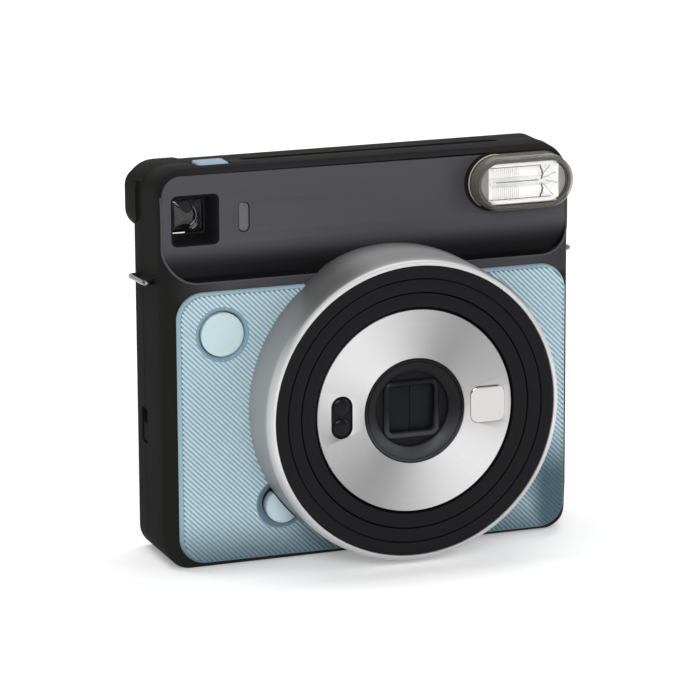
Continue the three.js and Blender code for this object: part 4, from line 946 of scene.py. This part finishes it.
def flash():
    cx, cz, w, h = FX, FZ, 31.8, 16.5
    def st(i, ww=w, hh=h): return rrc(cx, cz, ww - 2 * i, hh - 2 * i, (hh - 2 * i) / 2 - 0.01, 24)
    yb, yf = -4.7, -12.0
    R = 1.7
    rings = []
    # outside: side wall, rolled edge, almost flat front
    rings.append([(x, yb, z) for x, z in st(0)])
    rings.append([(x, yb - 0.35, z) for x, z in st(0)])
    for i in range(0, 9):
        q = PI / 2 * i / 8
        rings.append([(x, yf + R - R * math.sin(q) + 0.0, z) for x, z in st(0.35 + R * (1 - math.cos(q)))])
    rings.append([(x, yf - 0.0, z) for x, z in st(4.0)])
    t = 1.2
    inner = [[(x, yf + t, z) for x, z in st(4.0)], [(x, yf + t, z) for x, z in st(2.6)], [(x, yf + t + 0.7, z) for x, z in st(1.95)], [(x, yb, z) for x, z in st(1.7)]]
    n = len(rings[0])
    allr = rings + inner
    vs = [p for r in allr for p in r]
    fs = []
    k = len(allr)
    for q in range(k):
        p = (q + 1) % k
        if q == len(rings) - 1: continue
        for i in range(n):
            j = (i + 1) % n
            fs.append((q * n + i, q * n + j, p * n + j, p * n + i))
    a = len(rings) - 1
    fs.append(tuple(a * n + i for i in range(n)))
    fs.append(tuple((a + 1) * n + i for i in range(n)))
    ob = raw_recalc(new_obj("flash_dome", vs, fs))
    finish(ob, 35); dress(ob, "flashglass", ROOT, ["flash_window"])
    # black seat showing as a crescent at the left end of the window
    ot = rrc(cx - 0.35, cz, 33.3, 17.5, 8.74, 20)
    st2 = prism("flash_seat", ot, -5.35, -4.6)
    cut(st2, [prism("fsx", rrc(cx, cz, 27.5, 12.8, 6.39, 20), -12, 0)])
    finish(st2, 35); dress(st2, "lensblack", ROOT, ())
    # surround: warm grey stadium plate with a rectangular opening
    pl = prism("flash_surround", rrc(cx, cz, 27.0, 12.7, 6.34, 20), -9.5, -4.8)
    cut(pl, [prism("fs", rrect(cx - 11.3, cx + 11.2, cz - 6.0, cz + 6.0, 0.4, 3), -12, 0)])
    finish(pl, 35); dress(pl, "flashgrey", ROOT, ())
    # trough: a shallow curved reflector along X between two slanted end walls
    prof = []
    for i in range(25):
        u = -1 + 2 * i / 24
        prof.append((-9.9 + 4.2 * (1 - abs(u) ** 2.6), cz + 5.1 * u))
    xl, xr = cx - 11.2, cx + 11.1
    rings_x = [(xl, 0.03), (xl + 1.0, 0.6), (xl + 2.0, 0.93), (xl + 3.0, 1.0), (cx + 5.4, 1.0), (cx + 6.0, 0.9), (cx + 8.4, 0.45), (xr, 0.03)]
    sect = lambda x, f: [(x, -9.9 + (y + 9.9) * f, z) for y, z in prof]
    vs, fs = [], []
    m = len(prof)
    for x, f in rings_x: vs += sect(x, f)
    nb = len(vs)
    for x, f in rings_x: vs += [(x, y + 0.6, z) for x, y, z in sect(x, f)]
    K = len(rings_x)
    for a in range(K - 1):
        for i in range(m - 1):
            fs.append((a * m + i, a * m + i + 1, (a + 1) * m + i + 1, (a + 1) * m + i))
            fs.append((nb + a * m + i, nb + a * m + i + 1, nb + (a + 1) * m + i + 1, nb + (a + 1) * m + i))
    for a in range(K - 1):
        for i in (0, m - 1):
            fs.append((a * m + i, (a + 1) * m + i, nb + (a + 1) * m + i, nb + a * m + i))
    for a in (0, K - 1):
        for i in range(m - 1):
            fs.append((a * m + i, a * m + i + 1, nb + a * m + i + 1, nb + a * m + i))
    ob = raw_recalc(new_obj("flash_trough", vs, fs))
    # the reflector's white carries a faint glow: painted light
    finish(ob, 30); dress(ob, "bright", ROOT, ["flash_reflector"])
    # two white ledges above and below the trough, with the reflector's faint glow (painted light)
    for s, nm in ((1, "top"), (-1, "bottom")):
        def lg(i, s=s):
            z0, z1 = (cz + 5.15, cz + 6.1) if s > 0 else (cz - 6.1, cz - 5.15)
            return rrect(cx - 10.5 + i, cx + 10.5 - i, z0 + i, z1 - i, 0.3, 3)
        ob = soft_prism("flash_ledge_" + nm, lg, -10.1, -9.2, 0.2, seg=3, ends="a")
        finish(ob, 35); dress(ob, "bright", ROOT, ())
    # side wall of the window, seen through it, and the fine edge of its front face; that edge is a pale tube, a painted
    # highlight
    def wall(i): return st(i)
    wr = [[(x, y, z) for x, z in st(i)] for i, y in ((0.75, -4.9), (0.75, -9.8), (1.1, -10.7), (1.9, -10.6), (1.55, -9.7), (1.55, -4.9))]
    wl = raw_recalc(loft_ring("flash_wall", wr))
    finish(wl, 40); dress(wl, "flashwall", ROOT, ())
    rm = []
    for j in range(49):
        a = math.radians(62 + (236 - 62) * j / 48)
        ex = cx - (w - h) / 2
        taper = 0.12 * max(0.25, math.sin(PI * (j + 2) / 52)) ** 0.7
        rm.append([(ex + (h / 2 + taper * math.cos(u)) * math.cos(a), -5.75 + taper * math.sin(u), cz + (h / 2 + taper * math.cos(u)) * math.sin(a)) for u in [2 * PI * k / 8 for k in range(8)]])
    rw = raw_recalc(loft("flash_rim", rm))
    finish(rw, 60); dress(rw, "rimlight", ROOT, ())
    # fine upright lines moulded into the left part of the window
    for k in range(14):
        xx = cx - 10.2 + k * 0.62
        ln = prism("flash_line_%d" % k, rrect(xx - 0.035, xx + 0.035, cz - 4.9 + (k % 3) * 0.4, cz + 4.9 - (k % 2) * 0.5, 0.03, 1), -10.72, -10.66)
        finish(ln, 40); dress(ln, "flashgrey", ROOT, ())
    # thin bent bracket that holds the tube's right end, and the creases of the reflector's end beyond it; the creases
    # are grey lines, painted shade
    def wire(name, pts, r):
        rg = []
        for i, p in enumerate(pts):
            q0, q1 = pts[max(0, i - 1)], pts[min(len(pts) - 1, i + 1)]
            tx, tz = q1[0] - q0[0], q1[2] - q0[2]
            l = math.hypot(tx, tz); nx, nz = -tz / l, tx / l
            rg.append([(p[0] + nx * r * math.cos(u), p[1] + r * math.sin(u), p[2] + nz * r * math.cos(u)) for u in [2 * PI * k / 8 for k in range(8)]])
        o = raw_recalc(loft(name, rg))
        finish(o, 60); dress(o, "bracket_and_crease_shade", ROOT, ())
    for s, nm in ((1, "upper"), (-1, "lower")):
        wire("flash_bracket_" + nm, [(cx + 5.6 + 0.45 * math.sin(PI * t / 8) + 0.12 * math.sin(t * 2.1), -9.6, cz + s * (0.7 + 3.9 * t / 10)) for t in range(11)], 0.26)
    # fine dark edges of the two ledges, grey lines that are painted shade
    wire("flash_edge_upper", [(cx - 10.9 + 16.2 * t / 6, -10.0, cz + 4.95) for t in range(7)], 0.11)
    wire("flash_edge_lower", [(cx - 10.9 + 19.5 * t / 6, -10.0, cz - 4.6) for t in range(7)], 0.11)
    # painted shade: grey lines along the creases of the reflector's end
    for k, (x0, z0, x1, z1) in enumerate(((6.4, 1.0, 10.4, 2.5), (6.9, 0.2, 10.9, -0.7), (6.5, -1.0, 9.6, -4.4), (6.3, 2.4, 8.4, 4.6))):
        wire("flash_crease_%d" % k, [(cx + x0 + (x1 - x0) * t / 6, -9.7, cz + z0 + (z1 - z0) * t / 6 + 0.1 * math.sin(t * 1.9 + k)) for t in range(7)], 0.085)
    # tube with its dark trigger wire along the front
    pr = [(0.0001, cx - 10)] + [(1.5 * math.sin(PI / 2 * i / 5), cx - 10 + 0.8 - 0.8 * math.cos(PI / 2 * i / 5)) for i in range(1, 6)] + [(1.5, cx + 9.2)] + [(1.5 * math.cos(PI / 2 * i / 5), cx + 9.2 + 0.8 * math.sin(PI / 2 * i / 5)) for i in range(1, 5)] + [(0.0001, cx + 10)]
    ob = lathe("xenon_tube", pr, 32, -7.4, cz, "x")
    finish(ob, 40); dress(ob, "tube", ROOT, ["flash_tube"])
    pr = [(0.0001, cx - 8.5), (0.17, cx - 8.5), (0.17, cx + 5.0), (0.0001, cx + 5.0)]
    ob = lathe("trigger_wire", pr, 12, -9.05, cz + 0.35, "x")
    finish(ob, 40); dress(ob, "flashgrey", ROOT, ())


M["flashwall"] = plastic("flash_side_wall", (0.105, 0.098, 0.08), rough=0.25, spec=0.4, grain=0.6, bump=0.05)
M["flashwall"].node_tree.nodes.get("Principled BSDF").inputs["Alpha"].default_value = 0.85
# pale edge line of the flash window: painted highlight
M["rimlight"] = plastic("flash_rim_painted_highlight", (0.62, 0.61, 0.57), rough=0.2, spec=0.5, grain=0.6, bump=0.04)
M["tube"] = plastic("tube_clear", (0.85, 0.86, 0.87), rough=0.06, spec=0.6, grain=0.8, bump=0.02)
_nt = M["tube"].node_tree
_lw = N(_nt, "ShaderNodeLayerWeight"); _lw.inputs["Blend"].default_value = 0.4
_am = N(_nt, "ShaderNodeMapRange"); _am.inputs["To Min"].default_value = 0.12; _am.inputs["To Max"].default_value = 0.6
_nt.links.new(_lw.outputs["Facing"], _am.inputs["Value"])
_nt.links.new(_am.outputs["Result"], _nt.nodes.get("Principled BSDF").inputs["Alpha"])
# white with a faint glow for the flash reflector, its ledges and the finder sill: the glow is painted light, on the
# sill a painted glint
M["bright"] = plastic("reflector_white_painted_glow", (0.97, 0.97, 0.965), rough=0.32, spec=0.5, metallic=0.15, grain=1.0, bump=0.1, vary=0.02, rvary=0.05)
M["bright"].node_tree.nodes.get("Principled BSDF").inputs["Emission Color"].default_value = (1, 1, 0.985, 1)
M["bright"].node_tree.nodes.get("Principled BSDF").inputs["Emission Strength"].default_value = 0.14
# grey-tinted finder glass: painted shade, darkening the view into the finder
M["finderglass"] = glassy("finder_glass_painted_shade_tint", (0.28, 0.28, 0.31), rough=0.01)
# grey for the real bracket, and painted shade for the ledges' edges and the reflector's creases
M["bracket_and_crease_shade"] = plastic("bracket_grey_and_crease_shade", (0.16, 0.155, 0.14), rough=0.35, spec=0.4, grain=0.4, bump=0.05)
M["flashgrey"] = plastic("flash_surround_grey", (0.29, 0.275, 0.25), rough=0.35, spec=0.5, grain=0.4, bump=0.05)


def doors():
    # film door: slab with a rounded hinge edge and a raised grip field
    prof = [(-58, 17.4)] + arc(59.5, 19.6, 2.2, -PI / 2, PI / 2, 16) + [(-57.2, 21.8), (-58, 21.2)]
    ob = prism("door_slab", prof, 3.8, 94.2, "z")
    cut(ob, [prism("h1", circle(59.5, 19.6, 1.15, 24), 0, 100, "z"), prism("h2", rrect(-0.3, 12.3, 44.7, 70.3, 1.8, 8), 16, 24),
             ])
    bevel(ob, 0.35, 3, 50)
    finish(ob, 20); dress(ob, "shell", "film_door", ["film_door"])
    def fw(i): return rrect(0 + i, 12 - i, 45 + i, 70 - i, 1.5, 8)
    ob = soft_prism("door_window", fw, 17.7, 21.45, 0.35, "y", 4, "b")
    finish(ob, 40); dress(ob, "lamp", "film_door", ["film_window"])
    # thumb grip: low ribs on the door near its free edge
    for k in range(9):
        z = 30 + k * 3.2
        def gr(i, z=z): return rrect(-50 + i, -36 - i, z - 0.8 + i, z + 0.8 - i, 0.79 - i, 6)
        ob = soft_prism("door_grip_%d" % k, gr, 21.6, 22.3, 0.4, "y", 3, "b")
        finish(ob, 50); dress(ob, "shell", "film_door", ())
    # battery door
    p = [(-4.6, 0.7), (-4.3, 0.4)] + arc(10.1, 1.3, 0.9, -PI / 2, PI / 2, 10) + [(-4.6, 2.2)]
    ob = prism("battery_lid", p, -53.5, -38.5, "x")
    bevel(ob, 0.2, 2, 50)
    finish(ob, 40); dress(ob, "shell", "battery_door", ["battery_door"])
    for k in range(4):
        y = -3.0 + k * 1.3
        def gb(i, y=y): return rrect(-50 + i, -42 - i, y - 0.35 + i, y + 0.35 - i, 0.34 - i, 4)
        ob = soft_prism("lid_grip_%d" % k, gb, 0.45, 0.15, 0.15, "z", 2, "b")
        finish(ob, 50); dress(ob, "shell", "battery_door", ())


front_cover(); rear_cover(); upper_panel(); grip_panel(); lens(); buttons(); fittings(); flash(); doors()

# ------------------------------------------------------------------ CAD nodes that stay
KEEP = {
    "lens_cell": "lensblack", "front_lens_element": "glass", "rear_lens_element": "glass", "shutter_plate": "steel",
    "shutter_blade_left": "leaf", "shutter_blade_right": "leaf", "film_chassis": "bezel", "light_baffle": "lensblack",
    "film_pack": "pack", "film_claw": "steel", "roller_front": "steel", "roller_rear": "steel", "idler_gear": "gearwhite",
    "motor_pinion": "brass", "drive_motor": "motor", "roller_bracket": "steel", "main_circuit_board": "board",
    "battery_lower": "cell", "battery_upper": "cell", "flash_capacitor": "cap",
    "tripod_bush": "steel", "cover_screw_left": "steel", "cover_screw_right": "steel", "door_hinge_pin": "steel",
}
for n, mt in KEEP.items():
    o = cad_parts[n]
    if not o.material_slots:
        o.data.materials.append(M[mt])
    for s in o.material_slots:
        s.material = M[mt]

# ------------------------------------------------------------------ floor, light, camera
def stage():
    # floor that curves up into a wall behind
    vs, fs = [], []
    prof = [(-2600, 0)] + [(2300 + 500 * math.sin(PI / 2 * i / 16), 500 - 500 * math.cos(PI / 2 * i / 16)) for i in range(17)] + [(2800, 2600)]
    for y, z in prof:
        vs += [(-2600, y, z - 0.02), (2600, y, z - 0.02)]
    for i in range(len(prof) - 1):
        fs.append((2 * i, 2 * i + 1, 2 * i + 3, 2 * i + 2))
    fl = new_obj("floor", vs, fs)
    fl.data.shade_smooth()
    m, nt, b = nodes_of("floor_pale")
    tc = N(nt, "ShaderNodeTexCoord"); ns = N(nt, "ShaderNodeTexNoise"); ns.inputs["Scale"].default_value = 6
    nt.links.new(tc.outputs["Object"], ns.inputs["Vector"])
    mx = N(nt, "ShaderNodeMix", data_type="RGBA")
    mx.inputs[6].default_value = (0.86, 0.86, 0.86, 1); mx.inputs[7].default_value = (0.9, 0.9, 0.9, 1)
    nt.links.new(ns.outputs["Fac"], mx.inputs[0]); nt.links.new(mx.outputs[2], b.inputs["Base Color"])
    b.inputs["Roughness"].default_value = 0.8
    b.inputs["Specular IOR Level"].default_value = 0.1
    b.inputs["Emission Color"].default_value = (1, 1, 1, 1)
    b.inputs["Emission Strength"].default_value = 0.26
    fl.data.materials.append(m)


def area(name, loc, target, size, power, col=(1, 1, 1), sy=None):
    l = bpy.data.lights.new(name, "AREA")
    l.energy = power
    l.color = col
    l.shape = "RECTANGLE"
    l.size = size
    l.size_y = sy or size
    o = bpy.data.objects.new(name, l)
    bpy.context.collection.objects.link(o)
    o.location = loc
    d = Vector(target) - Vector(loc)
    o.rotation_euler = d.to_track_quat("-Z", "Y").to_euler()
    return o


stage()
T = (0, 0, 0.06)
area("key_top_left", (-0.45, -1.1, 0.8), T, 0.5, 4.5, sy=0.5)
area("fill_right", (1.1, -0.75, 0.6), T, 0.7, 5.0, sy=0.9)
area("front_low", (-0.2, -1.7, 0.75), T, 0.9, 11.0, sy=0.5)
area("wall_wash", (0, 0.35, 1.6), (0, 0.95, 0.2), 1.8, 22, sy=0.6)
w = bpy.data.worlds.new("world")
bpy.context.scene.world = w
w.use_nodes = True
bg = w.node_tree.nodes["Background"]
_nt = w.node_tree
_tc = N(_nt, "ShaderNodeTexCoord"); _sp = N(_nt, "ShaderNodeSeparateXYZ")
_nt.links.new(_tc.outputs["Generated"], _sp.inputs[0])
_mr = N(_nt, "ShaderNodeMapRange", interpolation_type="SMOOTHSTEP")
_mr.inputs["From Min"].default_value = 0.25; _mr.inputs["From Max"].default_value = 0.85
_mr.inputs["To Min"].default_value = 0.34; _mr.inputs["To Max"].default_value = 0.10
_nt.links.new(_sp.outputs["Z"], _mr.inputs["Value"])
_nt.links.new(_mr.outputs["Result"], bg.inputs["Strength"])
bg.inputs[0].default_value = (1, 1, 1, 1)
bpy.context.scene.view_settings.view_transform = "Standard"

cam = bpy.data.cameras.new("cam")
co = bpy.data.objects.new("cam", cam)
bpy.context.collection.objects.link(co)
AZ, EL, ROLL = math.radians(-20.2525), math.radians(13.583), math.radians(-0.322)
D, TGT, FPX = 1216.2, Vector((-3.917, 0, 59.684)), 4099.2
back = Vector((math.sin(AZ) * math.cos(EL), -math.cos(AZ) * math.cos(EL), math.sin(EL)))
C = TGT + back * D
fwd = -back
right = fwd.cross(Vector((0, 0, 1))).normalized()
up = right.cross(fwd).normalized()
R = right * math.cos(ROLL) + up * math.sin(ROLL)
U = up * math.cos(ROLL) - right * math.sin(ROLL)
mat = Matrix(((R.x, U.x, back.x, C.x * MM), (R.y, U.y, back.y, C.y * MM), (R.z, U.z, back.z, C.z * MM), (0, 0, 0, 1)))
co.matrix_world = mat
cam.sensor_width = 36
cam.lens = FPX / 700 * 36
cam.clip_start = 0.05
cam.clip_end = 20
bpy.context.scene.camera = co
